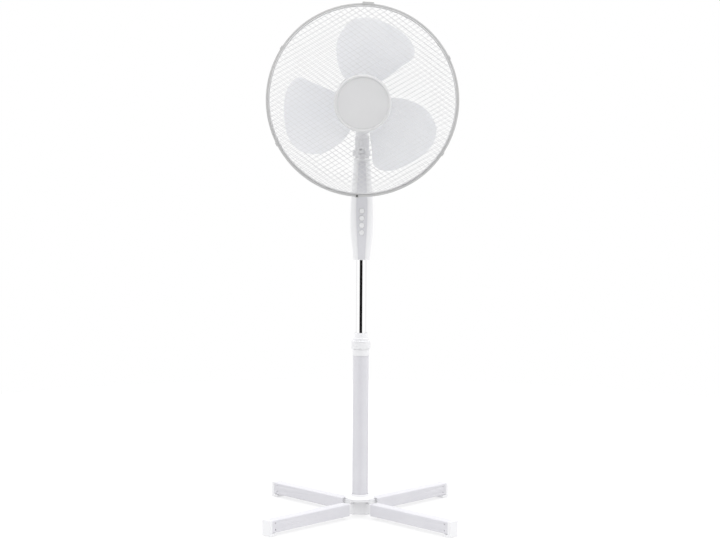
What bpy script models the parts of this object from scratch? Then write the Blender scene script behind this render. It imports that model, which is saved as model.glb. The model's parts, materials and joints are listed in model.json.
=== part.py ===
"""Pedestal fan with a cross base, a telescopic mast, four push buttons and a mesh guard.

Metres, +Z up, the fan blows towards -Y, origin on the floor under the pole.
"""
import math

import bmesh
import bpy
from mathutils import Vector

# Clearances
GAP = 0.0003  # between pieces that touch
RUN = 0.0001  # radial, between a bush and its shaft
EASE = 0.0008  # between pieces that move past each other

# Base
LEG_REACH = 0.300  # pole axis to the outer face of a foot cap
LEG_START = 0.047  # pole axis to the inner end of a leg
LEG_WIDTH = 0.025
LEG_HEIGHT = 0.029
LEG_WALL = 0.0012
LEG_CORNER = 0.0025
LEG_CLEAR = 0.007  # floor to the underside of a leg
CAP_THICK = 0.008
CAP_LIP = 0.001  # how far a cap stands proud of its leg
CAP_PLUG = 0.006  # how far a cap reaches into its leg
FOOT_REACH = 0.012  # how far the foot runs back under the leg
SNAP_HOLE = 0.0016
SNAP_HOLE_INSET = 0.011
SNAP_HOLE_PITCH = 0.015
HUB_SIDE = 0.036
HUB_FLOOR = 0.005
HUB_RISE = 0.002  # top of the legs to the top of the hub block
HUB_PLATE = 0.0345
HUB_PLATE_THICK = 0.004
TONGUE_LENGTH = 0.036  # how far a hub arm reaches into its leg
LEG_BOLT_INSET = 0.016
LEG_BOLT = 0.002
LEG_BOLT_HEAD = 0.0045
BASE_BOLT = 0.004
BASE_BOLT_HEAD = 0.0075
BASE_BOLT_SEAT = 0.006  # depth of the pocket for its head
SPIGOT_LENGTH = 0.033
COLLAR_HEIGHT = 0.011

# Telescopic mast
POLE = 0.0187
POLE_WALL = 0.0012
POLE_TOP = 0.396
TUBE = 0.0127
TUBE_WALL = 0.0010
TUBE_OVERLAP = 0.134  # length of tube inside the pole at rest
TUBE_SOCKET = 0.045  # length of tube inside the control housing
SLEEVE_WALL = 0.0011
SLEEVE_LENGTH = 0.0155
COLLET_RIM = 0.0035  # top of the pole to the top of the sleeve
COLLET_LENGTH = 0.024
COLLET_PLUG = 0.020  # how far the collet reaches into the pole
NUT_PROUD = 0.0024  # past the sleeve
NUT_HEIGHT = 0.020
NUT_CONE_HEIGHT = 0.018
NUT_CONE_WALL = 0.0015

# Control housing: height above its lower end, half width, half depth
MAST_OUT = 0.215  # top of the pole to the lower end of the housing at rest
HOUSING_HEIGHT = 0.232
HOUSING_FORM = (
    (0.00, 0.0193, 0.0190),
    (0.12, 0.0222, 0.0212),
    (0.28, 0.0264, 0.0240),
    (0.40, 0.0269, 0.0247),
    (0.54, 0.0267, 0.0246),
    (0.72, 0.0240, 0.0228),
    (0.86, 0.0213, 0.0212),
    (1.00, 0.0195, 0.0200),
)
HOUSING_WALL = 0.0024
HOUSING_POWER = 2.4  # roundness of its section, 2 is an ellipse
HOUSING_LEVELS = 8
SOCKET_HEIGHT = 0.022
PANEL_DEEP = 0.0013
PANEL_THICK = 0.0006
PANEL_HALF_WIDTH = 0.0132
PANEL_END_WIDTH = 0.0080
BUTTON = 0.0062
BUTTON_PITCH = 0.0168
BUTTON_DROP = 0.117  # top of the housing to the highest button
BUTTON_COUNT = 4
BUTTON_PROUD = 0.0032
BUTTON_TRAVEL = 0.0035
SWITCH_DEPTH = 0.018
SWITCH_HALF_WIDTH = 0.0095
SWITCH_MARGIN = 0.010  # past the outer buttons
GLAND = 0.0050
GLAND_HEIGHT = 0.030  # above the lower end of the housing
TOP_CAP_THICK = 0.0034

# Tilt joint
TILT_CLEAR = 0.0013  # top cap to the round of the neck
TILT_REST = math.radians(6.5)  # the head looks slightly down
LUG = 0.0110
LUG_HALF_WIDTH = 0.0070
NECK_HALF_WIDTH = 0.0165
NECK_ROUND = 0.0120
NECK_SHOULDER = 0.040
NECK_COLLAR = 0.0150
TILT_BOLT = 0.0040

# Head, measured along the motor axis from the swing axis, forwards
AXIS_HEIGHT = 0.129  # motor axis above the tilt bolt
MOTOR = 0.056
SHELL = 0.0022
MOTOR_FRONT = 0.026
MOTOR_BACK = 0.088
BOSS = 0.022
BOSS_LENGTH = 0.016
SHAFT = 0.0040
STATOR = 0.041
STATOR_BORE = 0.0245
STATOR_HALF = 0.012
WINDING_REACH = 0.0085
BRACKET_THICK = 0.002
BUSH = 0.0076
BUSH_HALF = 0.0040
OPENING_HALF = 0.034  # gap in the covers for the neck and the gear
STEM = 0.0060
STEM_FLANGE = 0.014
STEM_LENGTH = 0.046

# Swing gear
WHEEL = 0.0110
WHEEL_TEETH = 30
PINION = 0.0045
PINION_TEETH = 8
CRANK = 0.0200
CRANK_TEETH = 48
CRANK_THROW = 0.0145
GEAR_LINE = 0.040  # gear axes behind the swing axis
GEAR_THICK = 0.0035
CASE_WALL = 0.0025
LID_THICK = 0.0022
LINK_THICK = 0.0027
LINK_HALF_WIDTH = 0.0045
EAR_REACH = 0.021
EAR_THICK = 0.005
EAR_ROUND = 0.0055
LINK_PIN = 0.0020
CLUTCH = 0.0030
KNOB = 0.0085
KNOB_HEIGHT = 0.020

# Guards and blade
RING_PLANE = 0.081
GUARD = 0.220
BAND_DEPTH = 0.012
BAND_WIDTH = 0.0050
RIM_SIDES = 40
FRONT_DEPTH = 0.060
REAR_PLATE = 0.0022
DOME_POWER = 3.0
GUARD_WIRE = 0.0026
LATTICE_SIDES = 12
LATTICE_RINGS = 4
FRONT_HUB = 0.060
REAR_HUB = 0.060
CLIP_COUNT = 6
CLIP_ROLL = math.radians(-3)
CLIP_WIDTH = 0.010
TOP_CLIP_WIDTH = 0.026
CLIP_PROUD = 0.0045
LUG_PROUD = 0.0012
BADGE_LIP = 0.0045  # past the hub ring of the wires
BADGE_THICK = 0.007
BLADE_COUNT = 3
BLADE_SET_BACK = 0.003  # ring plane to the middle of the blade
BLADE_ROOT_DEPTH = 0.044
BLADE_TIP_DEPTH = 0.032
BLADE_THICK = 0.0020
BLADE_HUB = 0.036
BLADE_HUB_LENGTH = 0.046
BLADE_CLEAR = 0.0247  # blade tip to the wire ring
FLAT_LENGTH = 0.030  # of the flat on the shaft that drives the blade
BLADE_TURN = math.radians(77)  # middle of the first blade
BLADE_SINK = 0.004  # how far a blade's root is sunk in the hub
# Leading and trailing edge past the root: share of the reach, degrees from the middle of the blade
BLADE_LEADING = ((0.40, -34), (0.62, -36), (0.80, -37), (0.885, -32))
BLADE_TRAILING = ((0.40, 50), (0.62, 43), (0.80, 35), (0.950, 24))
BLADE_ROOT_ANGLES = (-27, 50)
BLADE_TIP = ((-32, 0.885), (-25, 0.925), (-8, 0.965), (8, 1.0), (17, 0.990), (24, 0.950))

# Places that follow from the sizes above
LEG_TOP = LEG_CLEAR + LEG_HEIGHT
LEG_END = LEG_REACH - CAP_THICK
LEG_MIDDLE = LEG_CLEAR + LEG_HEIGHT / 2
LEG_BOLT_AT = LEG_START + LEG_BOLT_INSET
HUB_TOP = LEG_TOP + HUB_RISE
PLATE_TOP = HUB_TOP + HUB_PLATE_THICK
SLEEVE = POLE + SLEEVE_WALL
SLEEVE_TOP = POLE_TOP + COLLET_RIM
COLLET = POLE - POLE_WALL - GAP
COLLET_BORE = TUBE + GAP
NUT = SLEEVE + NUT_PROUD
NUT_LOW = SLEEVE_TOP + GAP
NUT_STEP = NUT_LOW + NUT_HEIGHT
NUT_CONE = TUBE + EASE + NUT_CONE_WALL
TUBE_BOTTOM = POLE_TOP - TUBE_OVERLAP
HOUSING_BOTTOM = POLE_TOP + MAST_OUT
HOUSING_TOP = HOUSING_BOTTOM + HOUSING_HEIGHT
BUTTON_TOP = HOUSING_TOP - BUTTON_DROP
SWITCH_FRONT = -SWITCH_DEPTH / 2
TILT_HEIGHT = HOUSING_TOP + GAP + TOP_CAP_THICK + TILT_CLEAR + NECK_ROUND
STEM_FOOT = AXIS_HEIGHT - STATOR - STEM_LENGTH - 0.004
COLLAR_TOP = AXIS_HEIGHT - STATOR - 0.006
EAR_TOP = COLLAR_TOP - 0.0035
GEAR_FLOOR = -STATOR + 0.0010  # underside of the gear case, across the motor axis
GEAR_TOP = GEAR_FLOOR - LID_THICK - 0.0006
CASE_BACK = -(GEAR_LINE + 0.022)
WHEEL_X = SHAFT + WHEEL + 0.0005
CRANK_X = WHEEL_X - PINION - CRANK - 0.0004
BRACKET_FACE = STATOR_HALF + WINDING_REACH + 0.0010
WIRE_RING = (GUARD - BAND_WIDTH) * math.cos(math.pi / RIM_SIDES) - GUARD_WIRE / 2 - GAP
BADGE = FRONT_HUB + BADGE_LIP
BLADE_REACH = WIRE_RING - BLADE_CLEAR
BLADE_MIDDLE = RING_PLANE - BLADE_SET_BACK
BLADE_ROOT = (BLADE_HUB - BLADE_SINK) / BLADE_REACH
SHAFT_BACK = -(GEAR_LINE + 0.014)
FLAT = SHAFT * 0.62  # shaft axis to the flat
BOSS_BACK = MOTOR_FRONT + BOSS_LENGTH + 0.008
HUB_BACK = BLADE_MIDDLE - BLADE_HUB_LENGTH / 2 - 0.002
HUB_FRONT = BLADE_MIDDLE + BLADE_HUB_LENGTH / 2
SHAFT_FRONT = HUB_FRONT + 0.012

WHITE = ("white_plastic", (0.86, 0.86, 0.87), 0.35, 0.0)
PAINT = ("white_paint", (0.84, 0.84, 0.87), 0.30, 0.0)
GREY = ("grey_plastic", (0.62, 0.63, 0.64), 0.40, 0.0)
PANEL = ("panel_plastic", (0.70, 0.71, 0.73), 0.45, 0.0)
BLADE_PLASTIC = ("blade_plastic", (0.74, 0.76, 0.78), 0.30, 0.0)
CHROME = ("chrome", (0.90, 0.90, 0.90), 0.08, 1.0)
STEEL = ("steel", (0.55, 0.55, 0.56), 0.35, 1.0)
LAMINATION = ("lamination_steel", (0.35, 0.35, 0.37), 0.45, 1.0)
COPPER = ("copper", (0.72, 0.38, 0.20), 0.35, 1.0)
BRONZE = ("bronze", (0.60, 0.45, 0.25), 0.40, 1.0)
CAST = ("cast_alloy", (0.58, 0.59, 0.60), 0.50, 1.0)
NYLON = ("nylon", (0.85, 0.84, 0.78), 0.50, 0.0)
DARK = ("dark_plastic", (0.06, 0.06, 0.07), 0.45, 0.0)
GUARD_COAT = ("guard_coating", (0.82, 0.83, 0.84), 0.35, 0.0)

FORWARD = (math.pi / 2, 0, 0)  # turns a piece made along +Z to face -Y
BACKWARD = (-math.pi / 2, 0, 0)
SIDEWAYS = (0, math.pi / 2, 0)  # turns a piece made along +Z to face +X


def clear_scene():
    for obj in list(bpy.data.objects):
        bpy.data.objects.remove(obj)


def finish_material(finish):
    name, colour, roughness, metallic = finish
    found = bpy.data.materials.get(name)
    if found:
        return found
    material = bpy.data.materials.new(name)
    material.use_nodes = True
    shader = material.node_tree.nodes["Principled BSDF"]
    shader.inputs["Base Color"].default_value = (*colour, 1.0)
    shader.inputs["Roughness"].default_value = roughness
    shader.inputs["Metallic"].default_value = metallic
    return material


def place(name, bm, finish, parent=None, at=(0, 0, 0), turn=(0, 0, 0)):
    """Turns a bmesh into a named object with its faces pointing out."""
    bmesh.ops.remove_doubles(bm, verts=bm.verts, dist=1e-6)
    bmesh.ops.recalc_face_normals(bm, faces=bm.faces)
    mesh = bpy.data.meshes.new(name)
    bm.to_mesh(mesh)
    bm.free()
    mesh.shade_smooth()
    mesh.set_sharp_from_angle(angle=math.radians(35))
    mesh.materials.append(finish_material(finish))
    obj = bpy.data.objects.new(name, mesh)
    bpy.context.scene.collection.objects.link(obj)
    obj.parent = parent
    obj.location = at
    obj.rotation_euler = turn
    return obj


def frame(name, parent=None, at=(0, 0, 0), turn=(0, 0, 0)):
    """An empty that stands on a joint's axis and carries its pieces."""
    empty = bpy.data.objects.new(name, None)
    bpy.context.scene.collection.objects.link(empty)
    empty.parent = parent
    empty.location = at
    empty.rotation_euler = turn
    return empty


def turned(name, profile, finish, parent=None, at=(0, 0, 0), turn=(0, 0, 0), sides=24):
    """Spins (radius, height) points; a profile that leaves the axis is closed on itself."""
    bm = bmesh.new()
    verts = [bm.verts.new((radius, 0, height)) for radius, height in profile]
    on_axis = profile[0][0] == 0 and profile[-1][0] == 0
    pairs = list(zip(verts, verts[1:]))
    if not on_axis:
        pairs.append((verts[-1], verts[0]))
    edges = [bm.edges.new(pair) for pair in pairs]
    bmesh.ops.spin(
        bm, geom=verts + edges, cent=(0, 0, 0), axis=(0, 0, 1), angle=math.tau, steps=sides, use_merge=True
    )
    return place(name, bm, finish, parent, at, turn)


def extruded(name, outline, low, high, finish, parent=None, at=(0, 0, 0), turn=(0, 0, 0)):
    """A flat outline in XY, pulled from one height to another."""
    bm = bmesh.new()
    base = bm.faces.new([bm.verts.new((x, y, low)) for x, y in outline])
    pulled = bmesh.ops.extrude_face_region(bm, geom=[base])
    moved = [part for part in pulled["geom"] if isinstance(part, bmesh.types.BMVert)]
    bmesh.ops.translate(bm, verts=moved, vec=(0, 0, high - low))
    return place(name, bm, finish, parent, at, turn)


def block(name, low, high, finish, parent=None, at=(0, 0, 0), turn=(0, 0, 0), rounding=0.0):
    """A box between two corners, with rounded edges where asked."""
    bm = bmesh.new()
    bmesh.ops.create_cube(bm, size=1.0)
    size = Vector(high) - Vector(low)
    bmesh.ops.scale(bm, verts=bm.verts, vec=size)
    bmesh.ops.translate(bm, verts=bm.verts, vec=Vector(low) + size / 2)
    if rounding:
        bmesh.ops.bevel(bm, geom=bm.edges, offset=rounding, segments=1, profile=0.5, affect="EDGES")
    return place(name, bm, finish, parent, at, turn)


def rod(name, radius, low, high, finish, parent=None, at=(0, 0, 0), turn=(0, 0, 0), sides=16):
    return turned(name, [(0, high), (radius, high), (radius, low), (0, low)], finish, parent, at, turn, sides)


def ring(name, inner, outer, low, high, finish, parent=None, at=(0, 0, 0), turn=(0, 0, 0), sides=24):
    profile = [(outer, high), (outer, low), (inner, low), (inner, high)]
    return turned(name, profile, finish, parent, at, turn, sides)


def combine(target, tool, operation):
    """Applies a Boolean with another solid, which is used up."""
    modifier = target.modifiers.new("shape", "BOOLEAN")
    modifier.operation = operation
    modifier.solver = "EXACT"
    modifier.object = tool
    graph = bpy.context.evaluated_depsgraph_get()
    mesh = bpy.data.meshes.new_from_object(target.evaluated_get(graph))
    target.modifiers.clear()
    target.data = mesh
    bpy.data.objects.remove(tool)


def join(target, tool):
    combine(target, tool, "UNION")


def cut(target, tool):
    combine(target, tool, "DIFFERENCE")


def rounded_rectangle(half_x, half_y, corner, steps=2):
    points = []
    centres = ((1, 1), (-1, 1), (-1, -1), (1, -1))
    for quarter, (side_x, side_y) in enumerate(centres):
        for step in range(steps + 1):
            angle = math.radians(90) * (quarter + step / steps)
            x = side_x * (half_x - corner) + corner * math.cos(angle)
            y = side_y * (half_y - corner) + corner * math.sin(angle)
            points.append((x, y))
    return points


def gear_outline(radius, teeth, depth):
    """Two points for each tooth: root and tip."""
    points = []
    for tooth in range(teeth):
        for share, inset in ((0.0, depth), (0.5, 0.0)):
            angle = math.tau * (tooth + share) / teeth
            points.append(((radius - inset) * math.cos(angle), (radius - inset) * math.sin(angle)))
    return points


def blend(points, share):
    """Smooth value between (share, value, ...) rows, with flat ends."""
    for before, after in zip(points, points[1:]):
        if share <= after[0] or after is points[-1]:
            local = min(max((share - before[0]) / (after[0] - before[0]), 0.0), 1.0)
            break
    index = points.index(before)
    previous = points[max(index - 1, 0)]
    following = points[min(index + 2, len(points) - 1)]
    values = []
    for k in range(1, len(before)):
        span = after[0] - before[0]
        slope_in = (after[k] - previous[k]) / (after[0] - previous[0]) * span
        slope_out = (following[k] - before[k]) / (following[0] - before[0]) * span
        a = 2 * before[k] - 2 * after[k] + slope_in + slope_out
        b = -3 * before[k] + 3 * after[k] - 2 * slope_in - slope_out
        values.append(((a * local + b) * local + slope_in) * local + before[k])
    return values


# ---- Base ----

LEG_NAMES = ("rear_right", "rear_left", "front_left", "front_right")


def leg_turn(index):
    return (0, 0, math.radians(45 + 90 * index))


def make_hub():
    half = HUB_SIDE / 2
    hub = block("base_hub", (-half, -half, HUB_FLOOR), (half, half, HUB_TOP + GAP), WHITE)
    tongue = LEG_WIDTH / 2 - LEG_WALL - GAP
    low = LEG_CLEAR + LEG_WALL + GAP
    high = LEG_TOP - LEG_WALL - GAP
    end = LEG_START + TONGUE_LENGTH
    for side in (0, 1):
        turn = leg_turn(side)
        join(hub, block("arm", (-end, -tongue, low), (end, tongue, high), WHITE, turn=turn, rounding=0.001))
    join(hub, rod("plate", HUB_PLATE, HUB_TOP, PLATE_TOP, WHITE, sides=28))
    join(hub, rod("spigot", POLE - POLE_WALL - GAP, HUB_TOP, PLATE_TOP + SPIGOT_LENGTH, WHITE, sides=20))
    cut(hub, rod("bore", BASE_BOLT + GAP, 0, 2 * (PLATE_TOP + SPIGOT_LENGTH), WHITE, sides=16))
    cut(hub, rod("seat", BASE_BOLT_HEAD + EASE, 0, HUB_FLOOR + BASE_BOLT_SEAT, WHITE, sides=16))
    for index in range(4):
        drill = rod("drill", LEG_BOLT + GAP, 0, LEG_MIDDLE + 0.004, WHITE, sides=8)
        angle = leg_turn(index)[2]
        drill.location = (LEG_BOLT_AT * math.cos(angle), LEG_BOLT_AT * math.sin(angle), 0)
        cut(hub, drill)
    return hub


def make_legs():
    section = rounded_rectangle(LEG_WIDTH / 2, LEG_HEIGHT / 2, LEG_CORNER)
    hollow = rounded_rectangle(LEG_WIDTH / 2 - LEG_WALL, LEG_HEIGHT / 2 - LEG_WALL, LEG_CORNER - LEG_WALL)
    along = (math.pi / 2, 0, math.pi / 2)
    at = (0, 0, LEG_MIDDLE)
    leg = extruded("leg_" + LEG_NAMES[0], section, LEG_START, LEG_END, PAINT, None, at, along)
    cut(leg, extruded("hollow", hollow, LEG_START - 0.01, LEG_END + 0.01, PAINT, None, at, along))
    cut(leg, rod("drill", LEG_BOLT + GAP, 0, LEG_MIDDLE, PAINT, at=(LEG_BOLT_AT, 0, 0), sides=8))
    for side in (-1, 1):
        height = LEG_MIDDLE + side * SNAP_HOLE_PITCH / 2
        hole_at = (LEG_END - SNAP_HOLE_INSET, LEG_WIDTH, height)
        cut(leg, rod("snap", SNAP_HOLE, 0, 2 * LEG_WIDTH, PAINT, at=hole_at, turn=FORWARD, sides=6))
    leg.rotation_euler.z += leg_turn(0)[2]
    copy_round("leg_", leg)


def copy_round(name, first):
    """The other three of a piece that each corner has."""
    for index in range(1, 4):
        copy = bpy.data.objects.new(name + LEG_NAMES[index], first.data)
        bpy.context.scene.collection.objects.link(copy)
        copy.location = first.location
        copy.rotation_euler = first.rotation_euler
        copy.rotation_euler.z += leg_turn(index)[2] - leg_turn(0)[2]


def make_foot_caps():
    half = LEG_WIDTH / 2 + CAP_LIP
    low = (LEG_END + GAP, -half, 0)
    high = (LEG_REACH, half, LEG_TOP + CAP_LIP)
    cap = block("foot_cap_" + LEG_NAMES[0], low, high, WHITE, rounding=0.0012)
    face = LEG_END + CAP_THICK / 2
    join(cap, block("foot", (LEG_END - FOOT_REACH, -half, 0), (face, half, LEG_CLEAR - GAP), WHITE))
    plug = LEG_WIDTH / 2 - LEG_WALL - GAP
    low = (LEG_END - CAP_PLUG, -plug, LEG_CLEAR + LEG_WALL + GAP)
    high = (face, plug, LEG_TOP - LEG_WALL - GAP)
    join(cap, block("plug", low, high, WHITE, rounding=0.001))
    cap.rotation_euler = leg_turn(0)
    copy_round("foot_cap_", cap)


def make_leg_bolts():
    head_top = LEG_CLEAR - GAP
    profile = [
        (0, LEG_MIDDLE + 0.003),
        (LEG_BOLT, LEG_MIDDLE + 0.003),
        (LEG_BOLT, head_top),
        (LEG_BOLT_HEAD, head_top),
        (LEG_BOLT_HEAD, head_top - 0.0022),
        (0, head_top - 0.0022),
    ]
    for index, corner in enumerate(LEG_NAMES):
        angle = leg_turn(index)[2]
        at = (LEG_BOLT_AT * math.cos(angle), LEG_BOLT_AT * math.sin(angle), 0)
        turned("leg_bolt_" + corner, profile, STEEL, at=at, sides=8)


def make_base_bolt():
    head_low = HUB_FLOOR + 0.001
    head_high = HUB_FLOOR + BASE_BOLT_SEAT - GAP
    top = PLATE_TOP + SPIGOT_LENGTH + 0.004
    profile = [
        (0, top),
        (BASE_BOLT, top),
        (BASE_BOLT, head_high),
        (BASE_BOLT_HEAD, head_high),
        (BASE_BOLT_HEAD, head_low),
        (0, head_low),
    ]
    turned("base_bolt", profile, STEEL, sides=12)


def make_pole_collar():
    low = PLATE_TOP + GAP
    inner = POLE + GAP
    profile = [
        (inner, low + COLLAR_HEIGHT),
        (inner + 0.0020, low + COLLAR_HEIGHT),
        (inner + 0.0026, low + COLLAR_HEIGHT * 0.60),
        (HUB_PLATE - 0.0070, low + COLLAR_HEIGHT * 0.42),
        (HUB_PLATE - 0.0005, low + COLLAR_HEIGHT * 0.22),
        (HUB_PLATE, low),
        (inner, low),
    ]
    turned("pole_collar", profile, WHITE, sides=32)


def make_base():
    make_hub()
    make_legs()
    make_foot_caps()
    make_leg_bolts()
    make_base_bolt()
    make_pole_collar()
    ring("lower_pole", POLE - POLE_WALL, POLE, PLATE_TOP + GAP, POLE_TOP, PAINT, sides=32)


# ---- Mast ----


def make_collet():
    profile = [
        (COLLET, SLEEVE_TOP + COLLET_LENGTH),
        (COLLET, SLEEVE_TOP),
        (SLEEVE, SLEEVE_TOP),
        (SLEEVE, SLEEVE_TOP - SLEEVE_LENGTH),
        (POLE + GAP, SLEEVE_TOP - SLEEVE_LENGTH),
        (POLE + GAP, POLE_TOP + GAP),
        (COLLET, POLE_TOP + GAP),
        (COLLET, POLE_TOP - COLLET_PLUG),
        (COLLET_BORE, POLE_TOP - COLLET_PLUG),
        (COLLET_BORE, SLEEVE_TOP + COLLET_LENGTH),
    ]
    turned("pole_collet", profile, WHITE, sides=24)


def make_lock_nut():
    bore = COLLET + EASE
    top = NUT_STEP + NUT_CONE_HEIGHT
    mouth = TUBE + EASE
    profile = [
        (mouth, top),
        (NUT_CONE, top),
        (NUT_CONE + 0.002, NUT_STEP),
        (NUT - 0.001, NUT_STEP),
        (NUT, NUT_STEP - 0.001),
        (NUT, NUT_LOW + 0.001),
        (NUT - 0.001, NUT_LOW),
        (bore, NUT_LOW),
        (bore, SLEEVE_TOP + COLLET_LENGTH + EASE),
        (mouth, SLEEVE_TOP + COLLET_LENGTH + 0.004),
    ]
    turned("height_lock_nut", profile, WHITE, sides=28)


def make_inner_tube():
    top = HOUSING_BOTTOM + TUBE_SOCKET
    ring("inner_tube", TUBE - TUBE_WALL, TUBE, TUBE_BOTTOM, top, CHROME, sides=28)


# ---- Control housing ----


def housing_size(height):
    """Half width and half depth of the housing at a height."""
    return blend(HOUSING_FORM, (height - HOUSING_BOTTOM) / HOUSING_HEIGHT)


def panel_half_width(height):
    share = (height - HOUSING_BOTTOM) / HOUSING_HEIGHT
    swell = math.sin(math.pi * min(max(share, 0.0), 1.0)) ** 1.5
    return PANEL_END_WIDTH + (PANEL_HALF_WIDTH - PANEL_END_WIDTH) * swell


def skin(x, half_width, half_depth):
    """Depth of the rounded section at a place across it."""
    share = min(abs(x) / half_width, 1.0)
    return half_depth * (1 - share**HOUSING_POWER) ** (1 / HOUSING_POWER)


def loft(name, sections, finish, parent=None):
    """Closed loft through equal rings of points."""
    bm = bmesh.new()
    rings = [[bm.verts.new(point) for point in section] for section in sections]
    for low, high in zip(rings, rings[1:]):
        for k in range(len(low)):
            j = (k + 1) % len(low)
            bm.faces.new((low[k], low[j], high[j], high[k]))
    bm.faces.new(rings[0])
    bm.faces.new(rings[-1])
    return place(name, bm, finish, parent)


def housing_levels(low, high):
    return [low + (high - low) * level / HOUSING_LEVELS for level in range(HOUSING_LEVELS + 1)]


def side_places(inner, outer, steps=6):
    """Places from the side of a section in to its front band, closest at the side."""
    return [inner + (outer - inner) * math.cos(math.pi / 2 * k / steps) for k in range(steps + 1)]


def shell_half(name, side, recess):
    """Half of the housing: round the outer skin with its front band, then back along the inner skin."""
    sections = []
    for height in housing_levels(HOUSING_BOTTOM, HOUSING_TOP):
        half_width, half_depth = housing_size(height)
        band = panel_half_width(height) + GAP
        left = [-x for x in side_places(band, half_width)]
        middle = [band * k / 3 for k in range(-2, 3)]
        places = [(x, 0.0) for x in left]
        if recess:
            places.append((-band, recess))
        places += [(x, recess) for x in middle]
        if recess:
            places.append((band, recess))
        places += [(-x, 0.0) for x in reversed(left)]
        section = [(x, side * (skin(x, half_width, half_depth) + GAP - drop), height) for x, drop in places]
        inner_width = half_width - HOUSING_WALL
        inner_left = [-x for x in side_places(0.0, inner_width)]
        inner_places = inner_left + [-x for x in reversed(inner_left[:-1])]
        for x in reversed(inner_places):
            depth = skin(x, inner_width, half_depth - HOUSING_WALL) + GAP
            section.append((x, side * depth, height))
        sections.append(section)
    return loft(name, sections, WHITE, MAST)


def button_heights():
    return [BUTTON_TOP - BUTTON_PITCH * index for index in range(BUTTON_COUNT)]


def button_hole(target):
    for height in button_heights():
        cut(target, rod("hole", BUTTON + 0.0004, 0, 0.06, WHITE, MAST, (0, 0, height), FORWARD, sides=10))


def make_control_panel():
    """A thin plate that fills the band down the front of the housing."""
    sections = []
    for height in housing_levels(HOUSING_BOTTOM + 0.002, HOUSING_TOP - 0.002):
        half_width, half_depth = housing_size(height)
        band = panel_half_width(height) - GAP
        face = []
        back = []
        for k in range(-3, 4):
            x = band * k / 3
            depth = skin(x, half_width, half_depth) + GAP - PANEL_DEEP + GAP
            back.append((x, -depth, height))
            face.append((x, -depth - PANEL_THICK, height))
        sections.append(face + back[::-1])
    return loft("control_panel", sections, PANEL, MAST)


def make_housing():
    front = shell_half("housing_front", -1, PANEL_DEEP)
    button_hole(front)
    rear = shell_half("housing_rear", 1, 0.0)
    gland_at = (0, 0, HOUSING_BOTTOM + GLAND_HEIGHT)
    cut(rear, rod("hole", GLAND + GAP, 0, 0.06, WHITE, MAST, gland_at, BACKWARD, sides=16))
    button_hole(make_control_panel())
    half_depth = housing_size(gland_at[2])[1]
    profile = [
        (0.0032, half_depth + 0.0045),
        (GLAND + 0.0010, half_depth + 0.0045),
        (GLAND + 0.0025, half_depth + 0.0014),
        (GLAND, half_depth + 0.0014),
        (GLAND, half_depth - HOUSING_WALL - 0.002),
        (0.0032, half_depth - HOUSING_WALL - 0.002),
    ]
    turned("cord_gland", profile, DARK, MAST, gland_at, BACKWARD, sides=16)
    make_tube_socket()
    make_switch()
    make_top_cap()


def make_tube_socket():
    """The ring inside the lower end of the housing that grips the tube."""
    low = HOUSING_BOTTOM + 0.0004
    half_width, half_depth = housing_size(low)
    outer = min(half_width, half_depth) - HOUSING_WALL - 0.0004
    ring("tube_socket", TUBE + GAP, outer, low, low + SOCKET_HEIGHT, WHITE, MAST)


def make_switch():
    heights = button_heights()
    low = (-SWITCH_HALF_WIDTH, SWITCH_FRONT, heights[-1] - SWITCH_MARGIN)
    high = (SWITCH_HALF_WIDTH, -SWITCH_FRONT, heights[0] + SWITCH_MARGIN)
    block("switch_block", low, high, DARK, MAST, rounding=0.0008)


def make_buttons():
    names = ("off", "low", "medium", "high")
    for height, speed in zip(button_heights(), names):
        half_width, half_depth = housing_size(height)
        face = half_depth + BUTTON_PROUD
        flange = BUTTON + 0.0012
        inner_skin = skin(flange, half_width - HOUSING_WALL, half_depth - HOUSING_WALL)
        stop = inner_skin - 0.0004
        end = -SWITCH_FRONT + BUTTON_TRAVEL + 0.0004
        profile = [
            (0, face),
            (BUTTON * 0.72, face - 0.0003),
            (BUTTON, face - 0.0014),
            (BUTTON, stop),
            (flange, stop),
            (flange, stop - 0.0012),
            (0.0030, stop - 0.0012),
            (0.0030, end),
            (0, end),
        ]
        carrier = frame("button_axis_" + speed, MAST, (0, 0, height))
        turned("button_" + speed, profile, WHITE, carrier, turn=FORWARD, sides=12)


def make_top_cap():
    """Closes the housing and carries the lug of the tilt joint."""
    half_width, half_depth = housing_size(HOUSING_TOP)
    low = HOUSING_TOP + GAP
    outline = []
    for k in range(24):
        angle = math.tau * k / 24
        outline.append((half_width * math.cos(angle), half_depth * math.sin(angle)))
    cap = extruded("tilt_post", outline, low, low + TOP_CAP_THICK, WHITE, MAST)
    stem = (LUG_HALF_WIDTH - GAP, LUG * 0.9, TILT_HEIGHT)
    join(cap, block("stem", (-stem[0], -stem[1], low + 0.001), stem, WHITE, MAST))
    lug_at = (0, 0, TILT_HEIGHT)
    join(cap, rod("lug", LUG, -stem[0], stem[0], WHITE, MAST, lug_at, SIDEWAYS, sides=24))
    cut(cap, rod("bore", TILT_BOLT + RUN, -0.05, 0.05, WHITE, MAST, lug_at, SIDEWAYS, sides=20))


# ---- Neck ----


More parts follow.
